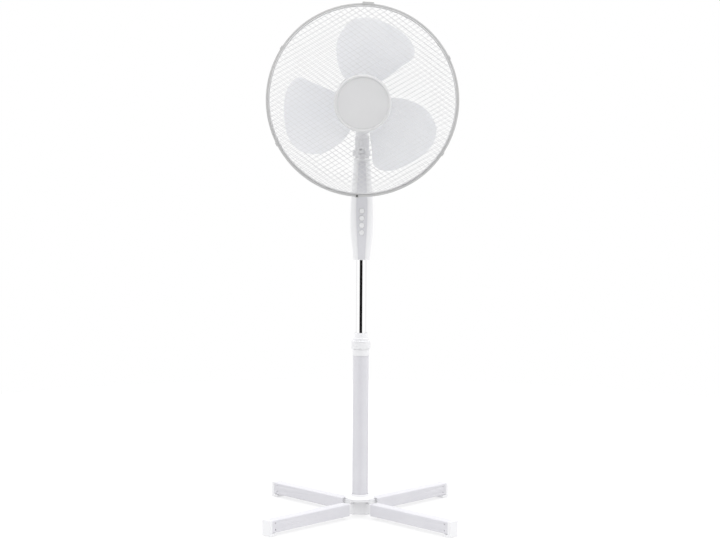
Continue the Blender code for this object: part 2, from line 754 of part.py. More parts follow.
def make_neck():
    neck = block(
        "tilt_neck",
        (-NECK_HALF_WIDTH, -NECK_ROUND, 0),
        (NECK_HALF_WIDTH, NECK_ROUND, NECK_SHOULDER),
        WHITE,
        TILT,
    )
    cheek = NECK_HALF_WIDTH
    join(neck, rod("cheeks", NECK_ROUND, -cheek, cheek, WHITE, TILT, turn=SIDEWAYS, sides=24))
    profile = [
        (0, COLLAR_TOP),
        (STEM + 0.0035, COLLAR_TOP),
        (STEM + 0.0035, EAR_TOP - 0.001),
        (NECK_COLLAR, EAR_TOP - 0.002),
        (NECK_COLLAR, NECK_SHOULDER + 0.006),
        (NECK_COLLAR + 0.0012, NECK_SHOULDER - 0.004),
        (0, NECK_SHOULDER - 0.004),
    ]
    join(neck, turned("collar", profile, WHITE, TILT))
    ear = [(0, -EAR_ROUND)]
    for k in range(5):
        angle = math.radians(-90 + 45 * k)
        ear.append((EAR_REACH + EAR_ROUND * math.cos(angle), EAR_ROUND * math.sin(angle)))
    ear.append((0, EAR_ROUND))
    join(neck, extruded("ear", ear, EAR_TOP - EAR_THICK, EAR_TOP, WHITE, TILT))
    pin_at = (EAR_REACH, 0, 0)
    pin_top = EAR_TOP + LINK_THICK + 0.0012
    join(neck, rod("pin", LINK_PIN, EAR_TOP - 0.002, pin_top, WHITE, TILT, pin_at, sides=10))
    cut(neck, rod("bore", STEM + RUN, STEM_FOOT - 0.002, 0.2, WHITE, TILT, sides=20))
    slot_top = LUG + 0.0018
    low = (-LUG_HALF_WIDTH - GAP, -0.05, -0.05)
    cut(neck, block("slot", low, (LUG_HALF_WIDTH + GAP, 0.05, slot_top), WHITE, TILT))
    cut(neck, rod("bolt_hole", TILT_BOLT + GAP, -0.05, 0.05, WHITE, TILT, turn=SIDEWAYS, sides=24))


def make_tilt_bolt():
    face = NECK_HALF_WIDTH + GAP
    nut_thick = 0.0045
    profile = [
        (0, face + 0.0030),
        (0.0065, face + 0.0026),
        (0.0070, face),
        (TILT_BOLT, face),
        (TILT_BOLT, -face - nut_thick - 0.001),
        (0, -face - nut_thick - 0.001),
    ]
    turned("tilt_bolt", profile, DARK, TILT, turn=SIDEWAYS, sides=16)
    corners = [(0.0085 * math.cos(math.tau * k / 6), 0.0085 * math.sin(math.tau * k / 6)) for k in range(6)]
    nut = extruded("tilt_nut", corners, -face - nut_thick, -face, DARK, TILT, turn=SIDEWAYS)
    cut(nut, rod("thread", TILT_BOLT + RUN, -0.05, 0.05, DARK, TILT, turn=SIDEWAYS))


# ---- Motor ----


def motor_opening(target, low, high):
    """The gap under the motor that the neck and the swing gear use."""
    corners = ((-OPENING_HALF, -MOTOR - 0.01, low), (OPENING_HALF, -0.030, high))
    cut(target, block("opening", *corners, WHITE, MOTOR_AXIS))


def make_covers():
    corner = 0.006
    inner = MOTOR - SHELL
    profile = [
        (inner, GAP),
        (inner, MOTOR_FRONT - SHELL - corner),
        (inner - corner, MOTOR_FRONT - SHELL),
        (BOSS - SHELL, MOTOR_FRONT - SHELL),
        (BOSS - SHELL, MOTOR_FRONT + BOSS_LENGTH - SHELL),
        (SHAFT + 0.006, MOTOR_FRONT + BOSS_LENGTH - SHELL),
        (SHAFT + 0.006, MOTOR_FRONT + BOSS_LENGTH),
        (BOSS, MOTOR_FRONT + BOSS_LENGTH),
        (BOSS, MOTOR_FRONT),
        (MOTOR - corner, MOTOR_FRONT),
        (MOTOR - corner * 0.3, MOTOR_FRONT - corner * 0.3),
        (MOTOR, MOTOR_FRONT - corner),
        (MOTOR, GAP),
    ]
    front = turned("motor_front_cover", profile, WHITE, MOTOR_AXIS, sides=32)
    motor_opening(front, -0.01, EAR_REACH + 0.0015)
    rear_form = ((1.0, 0.0), (1.0, 0.56), (0.955, 0.74), (0.80, 0.90), (0.54, 0.98), (0.0, 1.0))
    outside = [(MOTOR * share, -MOTOR_BACK * depth - GAP) for share, depth in rear_form]
    inside = [(max(radius - SHELL, 0), min(height + SHELL, -GAP)) for radius, height in outside]
    inside[-1] = (0, -MOTOR_BACK + SHELL)
    rear = turned("motor_rear_cover", outside[::-1] + inside, WHITE, MOTOR_AXIS, sides=32)
    motor_opening(rear, CASE_BACK - 0.003, 0.01)
    knob_at = (WHEEL_X, 0, -GEAR_LINE)
    cut(rear, rod("knob_hole", KNOB + EASE, MOTOR / 2, 2 * MOTOR, WHITE, MOTOR_AXIS, knob_at, BACKWARD))


def make_stator():
    ring("stator_core", STATOR_BORE, STATOR, -STATOR_HALF, STATOR_HALF, LAMINATION, MOTOR_AXIS)
    inner = STATOR_BORE + 0.003
    outer = STATOR - 0.0035
    low = STATOR_HALF + GAP
    high = STATOR_HALF + WINDING_REACH
    profile = [
        (inner, low),
        (outer, low),
        (outer, high - 0.003),
        (outer - 0.003, high),
        (inner + 0.002, high),
        (inner, high - 0.002),
    ]
    turned("winding_front", profile, COPPER, MOTOR_AXIS, sides=18)
    turned("winding_rear", profile, COPPER, MOTOR_AXIS, turn=(math.pi, 0, 0), sides=18)


def bracket_profile():
    rim = STATOR - 0.0025
    return [
        (0, BRACKET_FACE),
        (rim, BRACKET_FACE),
        (rim, STATOR_HALF + GAP),
        (STATOR, STATOR_HALF + GAP),
        (STATOR, BRACKET_FACE + BRACKET_THICK),
        (BUSH + 0.0035, BRACKET_FACE + BRACKET_THICK),
        (BUSH + 0.0035, BRACKET_FACE + BRACKET_THICK + 0.0025),
        (0, BRACKET_FACE + BRACKET_THICK + 0.0025),
    ]


def make_brackets():
    front = turned("motor_bracket", bracket_profile(), CAST, MOTOR_AXIS)
    cut(front, rod("seat", BUSH + GAP, 0, 0.06, CAST, MOTOR_AXIS, sides=20))
    case = turned("gear_case", bracket_profile(), CAST, MOTOR_AXIS, turn=(math.pi, 0, 0))
    right = WHEEL_X + WHEEL + 0.0008 + CASE_WALL
    left = CRANK_X - CRANK * 0.8
    top = WHEEL + 0.0015
    face = -BRACKET_FACE - BRACKET_THICK
    join(case, block("box", (left, GEAR_FLOOR, CASE_BACK), (right, top, face + 0.001), CAST, MOTOR_AXIS))
    low = (left + CASE_WALL, GEAR_FLOOR - 0.01, CASE_BACK + CASE_WALL)
    high = (right - CASE_WALL, top - CASE_WALL, face - 0.0026)
    cut(case, block("hollow", low, high, CAST, MOTOR_AXIS))
    cut(case, rod("seat", BUSH + GAP, 0, 0.06, CAST, MOTOR_AXIS, turn=(math.pi, 0, 0), sides=20))
    shaft_at = (WHEEL_X, 0, -GEAR_LINE)
    cut(case, rod("clutch_hole", CLUTCH + 0.0004, 0, 0.05, CAST, MOTOR_AXIS, shaft_at, BACKWARD))
    for name, middle in (("bush_front", BRACKET_FACE + 0.0015), ("bush_rear", -BRACKET_FACE - 0.0015)):
        low = middle - BUSH_HALF
        ring(name, SHAFT + RUN, BUSH, low, low + 2 * BUSH_HALF, BRONZE, MOTOR_AXIS, sides=20)
    lid = block(
        "gear_case_lid",
        (left, GEAR_FLOOR - GAP - LID_THICK, CASE_BACK),
        (right, GEAR_FLOOR - GAP, face - 0.001),
        CAST,
        MOTOR_AXIS,
    )
    pinion_at = (WHEEL_X, 0, -GEAR_LINE)
    cut(lid, rod("pinion_hole", PINION + 0.0006, 0, 0.06, CAST, MOTOR_AXIS, pinion_at, FORWARD, sides=24))
    crank_at = (CRANK_X, 0, -GEAR_LINE)
    cut(lid, rod("crank_hole", CLUTCH + RUN, 0, 0.06, CAST, MOTOR_AXIS, crank_at, FORWARD, sides=24))


def make_stem():
    """The steel pin under the motor that swings in the neck."""
    top = AXIS_HEIGHT - STATOR - GAP
    profile = [
        (0, top),
        (STEM_FLANGE, top),
        (STEM_FLANGE, top - 0.0030),
        (STEM, top - 0.0030),
        (STEM, STEM_FOOT),
        (0, STEM_FOOT),
    ]
    turned("swing_stem", profile, STEEL, SWING, sides=20)


def make_swing_gear():
    wheel_at = frame("wheel_axis", MOTOR_AXIS, (WHEEL_X, 0, -GEAR_LINE), BACKWARD)
    wheel = extruded("worm_wheel", gear_outline(WHEEL, WHEEL_TEETH, 0.0010), -0.003, 0.003, NYLON, wheel_at)
    cut(wheel, rod("bore", CLUTCH + RUN, -0.02, 0.02, NYLON, wheel_at))
    clutch_top = MOTOR + 0.012
    shaft = rod("clutch_shaft", CLUTCH, GEAR_TOP - GEAR_THICK - 0.001, clutch_top, STEEL, wheel_at)
    teeth = gear_outline(PINION, PINION_TEETH, 0.0010)
    join(shaft, extruded("pinion", teeth, GEAR_TOP - GEAR_THICK - 0.001, GEAR_FLOOR + 0.004, STEEL, wheel_at))
    low = MOTOR - 0.001
    profile = [
        (CLUTCH + GAP, low),
        (KNOB - 0.001, low),
        (KNOB - 0.001, low + 0.008),
        (KNOB, low + 0.010),
        (KNOB, low + KNOB_HEIGHT - 0.002),
        (KNOB - 0.002, low + KNOB_HEIGHT),
        (0, low + KNOB_HEIGHT),
        (0, clutch_top + GAP),
        (CLUTCH + GAP, clutch_top + GAP),
    ]
    turned("swing_knob", profile, WHITE, wheel_at, sides=18)
    crank_at = frame("crank_axis", MOTOR_AXIS, (CRANK_X, 0, -GEAR_LINE), BACKWARD)
    low = GEAR_TOP - GEAR_THICK
    crank = extruded("crank_gear", gear_outline(CRANK, CRANK_TEETH, 0.0012), low, GEAR_TOP, NYLON, crank_at)
    join(crank, rod("spindle", CLUTCH, low + 0.001, GEAR_FLOOR + 0.004, NYLON, crank_at, sides=14))
    throw = Vector(crank_throw())
    pin_low = EAR_TOP + LINK_THICK + 0.0006 - AXIS_HEIGHT
    join(crank, rod("pin", LINK_PIN, pin_low, low + 0.001, NYLON, crank_at, (throw.x, throw.y, 0), sides=10))


def crank_throw():
    """The crank pin at mid swing, square to the line from the ear to the crank."""
    line = Vector((CRANK_X - EAR_REACH, GEAR_LINE))
    line.normalize()
    return (-line.y * -CRANK_THROW, line.x * -CRANK_THROW)


def make_link():
    throw = crank_throw()
    reach = Vector((CRANK_X + throw[0] - EAR_REACH, GEAR_LINE + throw[1]))
    angle = math.atan2(reach.y, reach.x)
    at = frame("link_axis", TILT, (EAR_REACH, 0, EAR_TOP + GAP), (0, 0, angle))
    outline = []
    for centre, start in ((reach.length, -90), (0.0, 90)):
        for k in range(9):
            turn = math.radians(start + 22.5 * k)
            outline.append((centre + LINK_HALF_WIDTH * math.cos(turn), LINK_HALF_WIDTH * math.sin(turn)))
    link = extruded("swing_link", outline, 0, LINK_THICK - GAP, STEEL, at)
    cut(link, rod("eye", LINK_PIN + RUN, -0.01, 0.01, STEEL, at, sides=16))
    cut(link, rod("eye", LINK_PIN + EASE, -0.01, 0.01, STEEL, at, (reach.length, 0, 0), sides=16))


# ---- Rotor and blade ----


def make_shaft():
    worm_low = -(GEAR_LINE + 0.009)
    worm_high = -(GEAR_LINE - 0.009)
    profile = [(0, SHAFT_FRONT), (SHAFT, SHAFT_FRONT), (SHAFT, worm_high)]
    threads = 4
    pitch = (worm_high - worm_low) / threads
    for k in range(threads):
        profile.append((SHAFT - 0.0009, worm_high - pitch * (k + 0.4)))
        profile.append((SHAFT, worm_high - pitch * (k + 1)))
    profile += [(SHAFT, SHAFT_BACK), (0, SHAFT_BACK)]
    shaft = turned("motor_shaft", profile, STEEL, SPIN, sides=16)
    low = (-SHAFT, FLAT, HUB_FRONT - FLAT_LENGTH)
    cut(shaft, block("flat", low, (SHAFT, 2 * SHAFT, HUB_FRONT), STEEL, SPIN))
    outer = STATOR_BORE - 0.0006
    ring("rotor_core", SHAFT + GAP, outer, -STATOR_HALF - 0.001, STATOR_HALF + 0.001, LAMINATION, SPIN)


def make_blade_hub():
    wall = 0.0025
    boss = BLADE_HUB * 0.40
    bore = SHAFT + GAP
    profile = [
        (bore, HUB_FRONT),
        (BLADE_HUB - 0.010, HUB_FRONT),
        (BLADE_HUB - 0.003, HUB_FRONT - 0.003),
        (BLADE_HUB, HUB_FRONT - 0.010),
        (BLADE_HUB, HUB_BACK),
        (BLADE_HUB - wall, HUB_BACK),
        (BLADE_HUB - wall, HUB_FRONT - 0.010),
        (boss, HUB_FRONT - 0.006),
        (boss, BOSS_BACK),
        (bore, BOSS_BACK),
    ]
    hub = turned("fan_blade", profile, BLADE_PLASTIC, SPIN, sides=21)
    key_low = (-SHAFT, FLAT + GAP, HUB_FRONT - FLAT_LENGTH + 0.002)
    join(hub, block("key", key_low, (SHAFT, boss * 0.6, HUB_FRONT - 0.001), BLADE_PLASTIC, SPIN))
    return hub


def edge_angle(edge, root_angle, share):
    return math.radians(blend(((BLADE_ROOT, root_angle), *edge), share)[0])


def tip_limit(angle):
    return blend(BLADE_TIP, math.degrees(angle))[0]


def blade_point(u, v):
    """Place on the blade's middle surface: u runs out along it, v from leading to trailing edge."""
    lead_end = BLADE_LEADING[-1][0]
    trail_end = BLADE_TRAILING[-1][0]
    lead_share = BLADE_ROOT + (lead_end - BLADE_ROOT) * u
    trail_share = BLADE_ROOT + (trail_end - BLADE_ROOT) * u
    lead = edge_angle(BLADE_LEADING, BLADE_ROOT_ANGLES[0], lead_share)
    trail = edge_angle(BLADE_TRAILING, BLADE_ROOT_ANGLES[1], trail_share)
    tip_angle = math.radians(BLADE_TIP[0][0]) * (1 - v) + math.radians(BLADE_TIP[-1][0]) * v
    angle = lead * (1 - v) + trail * v
    chord = lead_share * (1 - v) + trail_share * v
    tip_chord = lead_end * (1 - v) + trail_end * v
    share = chord + (tip_limit(tip_angle) - tip_chord) * u**2
    radius = share * BLADE_REACH
    depth = BLADE_ROOT_DEPTH + (BLADE_TIP_DEPTH - BLADE_ROOT_DEPTH) * u
    camber = 0.10 * math.sin(math.pi * v)
    height = BLADE_MIDDLE + depth * (v - 0.5 - camber)
    return Vector((radius * math.cos(angle), radius * math.sin(angle), height))


def make_one_blade(turn):
    rows = 6
    columns = 6
    step = 0.001
    front = []
    back = []
    for i in range(rows + 1):
        for j in range(columns + 1):
            u = i / rows
            v = j / columns
            point = blade_point(u, v)
            along = blade_point(min(u + step, 1), v) - blade_point(max(u - step, 0), v)
            over = blade_point(u, min(v + step, 1)) - blade_point(u, max(v - step, 0))
            normal = along.cross(over).normalized()
            edge = 0.55 if i == rows or j in (0, columns) else 1.0
            front.append(point + normal * BLADE_THICK / 2 * edge)
            back.append(point - normal * BLADE_THICK / 2 * edge)
    bm = bmesh.new()
    sheets = [[bm.verts.new(point) for point in sheet] for sheet in (front, back)]
    wide = columns + 1
    for sheet in sheets:
        for i in range(rows):
            for j in range(columns):
                k = i * wide + j
                bm.faces.new((sheet[k], sheet[k + 1], sheet[k + wide + 1], sheet[k + wide]))
    rim = list(range(wide))
    rim += [i * wide + columns for i in range(1, rows + 1)]
    rim += [rows * wide + j for j in range(columns - 1, -1, -1)]
    rim += [i * wide for i in range(rows - 1, 0, -1)]
    for a, b in zip(rim, rim[1:] + rim[:1]):
        bm.faces.new((sheets[0][a], sheets[0][b], sheets[1][b], sheets[1][a]))
    return place("blade", bm, BLADE_PLASTIC, SPIN, turn=(0, 0, turn))


def make_blade():
    hub = make_blade_hub()
    for index in range(BLADE_COUNT):
        join(hub, make_one_blade(BLADE_TURN + math.tau * index / BLADE_COUNT))
    low = HUB_FRONT + GAP
    bore = SHAFT + GAP
    profile = [
        (bore, low),
        (0.0150, low),
        (0.0150, low + 0.007),
        (0.0105, low + 0.017),
        (0, low + 0.018),
        (0, SHAFT_FRONT + GAP),
        (bore, SHAFT_FRONT + GAP),
    ]
    turned("blade_nut", profile, WHITE, SPIN, sides=20)


# ---- Guards ----


def dome(radius, depth):
    """Height of a guard above the ring plane."""
    share = min(radius / (WIRE_RING + GUARD_WIRE / 2), 1.0)
    return depth * math.sqrt(1 - share**DOME_POWER)


def rear_depth():
    """Depth at which the rear dome's hub ring lies in its flat plate."""
    reach = RING_PLANE - GUARD_WIRE / 2 - GAP - (MOTOR_FRONT + GAP + REAR_PLATE / 2)
    return reach / dome(REAR_HUB, 1.0)


def lattice(name, hub, depth, finish):
    """A dome of crossing wires: diamonds between a hub ring and the rim ring."""
    bm = bmesh.new()
    side = 1 if depth > 0 else -1
    rows = []
    for level in range(LATTICE_RINGS + 1):
        radius = hub + (WIRE_RING - hub) * level / LATTICE_RINGS
        height = side * (GUARD_WIRE / 2 + GAP)
        if level < LATTICE_RINGS:
            height += side * dome(radius, abs(depth))
        row = []
        for k in range(LATTICE_SIDES):
            angle = math.tau * (k + level / 2) / LATTICE_SIDES
            row.append(bm.verts.new((radius * math.cos(angle), radius * math.sin(angle), height)))
        rows.append(row)
    for k in range(LATTICE_SIDES):
        before = k - 1
        bm.faces.new((rows[0][before], rows[0][k], rows[1][before]))
        bm.faces.new((rows[-1][before], rows[-1][k], rows[-2][k]))
        for inner, middle, outer in zip(rows, rows[1:], rows[2:]):
            bm.faces.new((inner[k], middle[k], outer[before], middle[before]))
    obj = place(name, bm, finish, MOTOR_AXIS, (0, 0, RING_PLANE))
    wires = obj.modifiers.new("wires", "WIREFRAME")
    wires.thickness = GUARD_WIRE
    wires.use_even_offset = True
    wires.use_boundary = True
    wires.use_replace = True
    return obj


def settle(obj):
    """Applies an object's modifiers to its mesh."""
    graph = bpy.context.evaluated_depsgraph_get()
    mesh = bpy.data.meshes.new_from_object(obj.evaluated_get(graph))
    obj.modifiers.clear()
    obj.data = mesh


def clip_turn(index):
    return math.radians(90) + CLIP_ROLL + math.tau * index / CLIP_COUNT


def make_rim():
    """The plastic band that holds both guards, with its lugs."""
    half = BAND_DEPTH / 2
    inner = GUARD - BAND_WIDTH
    profile = [
        (GUARD - 0.001, half),
        (GUARD, half - 0.001),
        (GUARD, -half + 0.001),
        (GUARD - 0.001, -half),
        (inner, -half),
        (inner, half),
    ]
    at = (0, 0, RING_PLANE)
    rim = turned("guard_rim", profile, GREY, MOTOR_AXIS, at, sides=RIM_SIDES)
    outer = GUARD + CLIP_PROUD * 0.6
    for index in range(1, CLIP_COUNT):
        low = (inner + 0.0008, -CLIP_WIDTH / 2, -half - LUG_PROUD)
        high = (outer, CLIP_WIDTH / 2, half + LUG_PROUD)
        join(rim, block("lug", low, high, GREY, MOTOR_AXIS, at, (0, 0, clip_turn(index))))
    screw_turn = clip_turn(CLIP_COUNT // 2)
    lug_middle = GUARD - BAND_WIDTH / 2
    screw_at = (lug_middle * math.cos(screw_turn), lug_middle * math.sin(screw_turn), RING_PLANE)
    seat = half + LUG_PROUD + GAP
    screw = [
        (0, seat + 0.0013),
        (0.0020, seat + 0.0010),
        (0.0024, seat),
        (0.0012, seat),
        (0.0012, seat - 0.008),
        (0, seat - 0.008),
    ]
    cut(rim, rod("screw_hole", 0.0012 + GAP, seat - 0.009, 0.02, GREY, MOTOR_AXIS, screw_at, sides=10))
    turned("rim_screw", screw, DARK, MOTOR_AXIS, screw_at, sides=10)


def make_top_clip():
    """The wide hook clip over the top of the rim."""
    half = BAND_DEPTH / 2 + GAP
    hook = 0.0018
    outer = GUARD + CLIP_PROUD
    low = (GUARD - BAND_WIDTH * 0.6, -TOP_CLIP_WIDTH / 2, -half - hook)
    high = (outer, TOP_CLIP_WIDTH / 2, half + hook)
    place_at = (0, 0, RING_PLANE)
    turn = (0, 0, clip_turn(0))
    clip = block("top_clip", low, high, GREY, MOTOR_AXIS, place_at, turn, rounding=0.0006)
    bite = ring("bite", GUARD - 0.03, GUARD + GAP, -half, half, GREY, MOTOR_AXIS, place_at, sides=96)
    cut(clip, bite)


def make_badge():
    low = RING_PLANE + FRONT_DEPTH + GUARD_WIRE * 1.5 + GAP * 2
    top = low + BADGE_THICK
    inner = BADGE * 0.885
    profile = [
        (0, top - 0.0008),
        (inner * 0.6, top - 0.0012),
        (inner, top - 0.0024),
        (inner + 0.0012, top - 0.0004),
        (BADGE - 0.0030, top),
        (BADGE - 0.0008, top - 0.0020),
        (BADGE, low),
        (0, low),
    ]
    turned("badge", profile, WHITE, MOTOR_AXIS, sides=32)


def make_guards():
    settle(lattice("front_guard", FRONT_HUB, FRONT_DEPTH, GUARD_COAT))
    rear = lattice("rear_guard", REAR_HUB, -rear_depth(), GUARD_COAT)
    settle(rear)
    low = MOTOR_FRONT + GAP
    plate = ring("plate", BOSS + GAP, REAR_HUB, low, low + REAR_PLATE, GUARD_COAT, MOTOR_AXIS, sides=28)
    join(rear, plate)
    top = low + REAR_PLATE / 2 + GUARD_WIRE / 2 + GAP
    profile = [
        (BOSS + EASE, top),
        (BOSS + 0.012, top),
        (BOSS + 0.012, top + 0.0030),
        (BOSS + 0.005, top + 0.0050),
        (BOSS + 0.005, top + 0.0095),
        (BOSS + EASE, top + 0.0095),
    ]
    turned("guard_nut", profile, WHITE, MOTOR_AXIS)
    make_rim()
    make_top_clip()
    make_badge()


clear_scene()
MAST = frame("mast")
TILT = frame("tilt_axis", None, (0, 0, TILT_HEIGHT), (TILT_REST, 0, 0))
SWING = frame("swing_axis", TILT)
MOTOR_AXIS = frame("motor_axis", SWING, (0, 0, AXIS_HEIGHT), FORWARD)
SPIN = frame("spin_axis", MOTOR_AXIS)
make_base()
make_collet()
make_lock_nut()
make_inner_tube()
make_housing()
make_buttons()
make_neck()
make_tilt_bolt()
make_covers()
make_stator()
make_brackets()
make_stem()
make_swing_gear()
make_link()
make_shaft()
make_blade()
make_guards()
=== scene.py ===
import json
import math

import bmesh
import bpy
from mathutils import Matrix, Vector


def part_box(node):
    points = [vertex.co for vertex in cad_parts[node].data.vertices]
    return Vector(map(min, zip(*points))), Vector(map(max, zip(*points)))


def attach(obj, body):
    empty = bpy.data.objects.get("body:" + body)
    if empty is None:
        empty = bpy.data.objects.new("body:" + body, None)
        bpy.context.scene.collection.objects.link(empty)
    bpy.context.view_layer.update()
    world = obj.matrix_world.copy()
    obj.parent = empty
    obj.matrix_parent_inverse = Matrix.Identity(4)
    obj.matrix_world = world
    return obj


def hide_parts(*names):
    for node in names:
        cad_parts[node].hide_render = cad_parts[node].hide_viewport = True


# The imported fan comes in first, and every new piece takes its place from it
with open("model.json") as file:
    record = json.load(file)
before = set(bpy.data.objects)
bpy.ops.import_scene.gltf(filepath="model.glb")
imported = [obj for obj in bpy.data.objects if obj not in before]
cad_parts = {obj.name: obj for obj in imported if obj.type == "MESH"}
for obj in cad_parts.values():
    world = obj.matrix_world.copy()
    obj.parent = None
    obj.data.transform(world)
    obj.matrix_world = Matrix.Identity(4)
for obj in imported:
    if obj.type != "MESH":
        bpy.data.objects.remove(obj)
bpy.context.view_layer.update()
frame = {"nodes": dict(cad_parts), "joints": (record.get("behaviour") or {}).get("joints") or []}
cadNodes = frame["nodes"]
joints = {joint["name"]: joint for joint in frame["joints"]}

# Places that many pieces share: the head looks along "ahead", the neck stands along "above"
side = Vector((1, 0, 0))
away = Vector(joints["fan_spin"]["axis"])
ahead = -away
above = ahead.cross(side)
headTurn = Matrix((side, above, ahead)).transposed().to_4x4()
neckTurn = Matrix((side, away, above)).transposed().to_4x4()
headPlace = Matrix.Translation(joints["fan_spin"]["pos_m"]) @ headTurn
neckPlace = Matrix.Translation(joints["tilt"]["pos_m"]) @ neckTurn
clearance = 0.0003  # between faces that look at each other, in metres
print("frame loaded, head stands at", [round(v, 4) for v in headPlace.translation])


def mode(name):
    bpy.ops.object.mode_set(mode=name)


def moved(*offset):
    return Matrix.Translation(offset)


def turned(degrees, axis="Z"):
    return Matrix.Rotation(math.radians(degrees), 4, axis)


def pick(*things):
    if bpy.context.mode != "OBJECT":
        mode("OBJECT")
    bpy.ops.object.select_all(action="DESELECT")
    for thing in things:
        thing.select_set(True)
    bpy.context.view_layer.objects.active = things[0] if things else None


def called(name):
    piece = bpy.context.object
    piece.name = name
    piece.data.name = name
    return piece


def settle(piece, place=None, sharp=35, outwards=True):
    # the place goes into the mesh, seams close and faces turn outwards
    pick(piece)
    if place:
        bpy.context.view_layer.update()
        piece.matrix_world = place @ piece.matrix_world
    bpy.ops.object.transform_apply(location=True, rotation=True, scale=True)
    mode("EDIT")
    bpy.ops.mesh.select_all(action="SELECT")
    bpy.ops.mesh.remove_doubles(threshold=0.00001)
    if outwards:
        bpy.ops.mesh.normals_make_consistent(inside=False)
    mode("OBJECT")
    bpy.ops.object.shade_smooth_by_angle(angle=math.radians(sharp))
    return piece


def softened(outline, size, steps=3):
    # the corners of an outline become small curves
    made = [tuple(outline[0])]
    for before, corner, after in zip(outline, outline[1:], outline[2:]):
        a, b, c = Vector(before), Vector(corner), Vector(after)
        start = b + (a - b).normalized() * min(size, (a - b).length / 2.2)
        end = b + (c - b).normalized() * min(size, (c - b).length / 2.2)
        for k in range(steps + 1):
            t = k / steps
            made.append(tuple(start * (1 - t) ** 2 + b * (2 * t * (1 - t)) + end * t * t))
    made.append(tuple(outline[-1]))
    return made


def drawLine(points):
    # the new plane shrinks to a single point, which is then extruded along the line
    mode("EDIT")
    bpy.ops.mesh.select_mode(type="VERT")
    bpy.ops.mesh.select_all(action="SELECT")
    bpy.ops.mesh.merge(type="CENTER")
    bpy.ops.transform.translate(value=points[0])
    for before, after in zip(points, points[1:]):
        step = tuple(b - a for a, b in zip(before, after))
        bpy.ops.mesh.extrude_region_move(TRANSFORM_OT_translate={"value": step})
    bpy.ops.mesh.select_all(action="SELECT")


def spinPiece(name, outline, place=None, steps=96, sharp=35):
    # (radius, height) points, extruded one after the other and spun round Z
    pick()
    bpy.ops.mesh.primitive_plane_add(size=0.01)
    piece = called(name)
    drawLine([(radius, 0, height) for radius, height in outline])
    bpy.ops.mesh.spin(steps=steps, angle=math.tau, center=(0, 0, 0), axis=(0, 0, 1))
    mode("OBJECT")
    return settle(piece, place, sharp)


def ringOutline(inner, outer, low, high):
    # starts in the middle of the inner wall, so that every corner can be softened
    middle = (low + high) / 2
    return [(inner, middle), (inner, high), (outer, high), (outer, low), (inner, low), (inner, middle)]


def bevelled(piece, width, segments=3, angle=40):
    pick(piece)
    edge = piece.modifiers.new("edge", "BEVEL")
    edge.width = width
    edge.segments = segments
    edge.limit_method = "ANGLE"
    edge.angle_limit = math.radians(angle)
    bpy.ops.object.modifier_apply(modifier=edge.name)
    return piece


def boxPiece(name, low, high, rounding=0.0, place=None, segments=3):
    pick()
    low, high = Vector(low), Vector(high)
    bpy.ops.mesh.primitive_cube_add(size=1, location=(low + high) / 2, scale=high - low)
    piece = called(name)
    bpy.ops.object.transform_apply(location=True, rotation=True, scale=True)
    if rounding:
        bevelled(piece, rounding, segments)
    return settle(piece, place)


def slabPiece(name, outline, low, high, place=None):
    # an outline of (y, z) points, filled and pushed from low to high along X
    pick()
    bpy.ops.mesh.primitive_plane_add(size=0.01)
    piece = called(name)
    drawLine([(low, y, z) for y, z in outline])
    bpy.ops.mesh.edge_face_add()
    bpy.ops.mesh.extrude_region_move(TRANSFORM_OT_translate={"value": (high - low, 0, 0)})
    mode("OBJECT")
    return settle(piece, place)


def rodPiece(name, radius, low, high, place=None, sides=32):
    pick()
    bpy.ops.mesh.primitive_cylinder_add(
        vertices=sides, radius=radius, depth=high - low, location=(0, 0, (low + high) / 2),
    )
    return settle(called(name), place)


def combined(piece, tool, operation):
    pick(piece)
    work = piece.modifiers.new("work", "BOOLEAN")
    work.operation = operation
    work.solver = "EXACT"
    work.object = tool
    bpy.ops.object.modifier_apply(modifier=work.name)
    bpy.data.objects.remove(tool)
    return piece


def cutAway(piece, tool):
    return combined(piece, tool, "DIFFERENCE")


def added(piece, tool):
    return combined(piece, tool, "UNION")


def cutBox(piece, *form):
    return cutAway(piece, boxPiece("cutter", *form))


def cutRod(piece, *form):
    return cutAway(piece, rodPiece("cutter", *form))


def addBox(piece, *form):
    return added(piece, boxPiece("lump", *form))


def addRod(piece, *form):
    return added(piece, rodPiece("lump", *form))


def copied(piece, name, turn=None):
    pick(piece)
    bpy.ops.object.duplicate()
    twin = called(name)
    if turn:
        twin.matrix_world = turn
    bpy.ops.object.transform_apply(location=True, rotation=True, scale=True)
    return twin


def ribbed(piece, ribs, depth, low, high, outer):
    # shallow grip ribs on the outside of a piece spun round Z
    for point in piece.data.vertices:
        radius = math.hypot(point.co.x, point.co.y)
        if low < point.co.z < high and radius > outer:
            angle = math.atan2(point.co.y, point.co.x)
            share = (radius - depth * (0.5 - 0.5 * math.cos(ribs * angle))) / radius
            point.co.x *= share
            point.co.y *= share
    return piece


def addedNode(tree, kind, values=None, settings=None):
    # a value is either a plain one or the output that feeds the input
    made = tree.nodes.new("ShaderNode" + kind)
    for key, value in (settings or {}).items():
        setattr(made, key, value)
    for key, value in (values or {}).items():
        if isinstance(value, bpy.types.NodeSocket):
            tree.links.new(value, made.inputs[key])
        else:
            made.inputs[key].default_value = value
    return made


def mathNode(tree, operation, first, second=None):
    values = {0: first} if second is None else {0: first, 1: second}
    return addedNode(tree, "Math", values, {"operation": operation}).outputs["Value"]


def ranged(tree, value, start, end, low=0.0, high=1.0):
    values = {"Value": value, "From Min": start, "From Max": end, "To Min": low, "To Max": high}
    return addedNode(tree, "MapRange", values).outputs["Result"]


def tint(colour, shade, rough, grain, depth, **more):
    # two tones, the least and most roughness, the grain's fineness and its height in metres
    return {"colour": colour, "shade": shade, "rough": rough, "grain": grain, "depth": depth, **more}


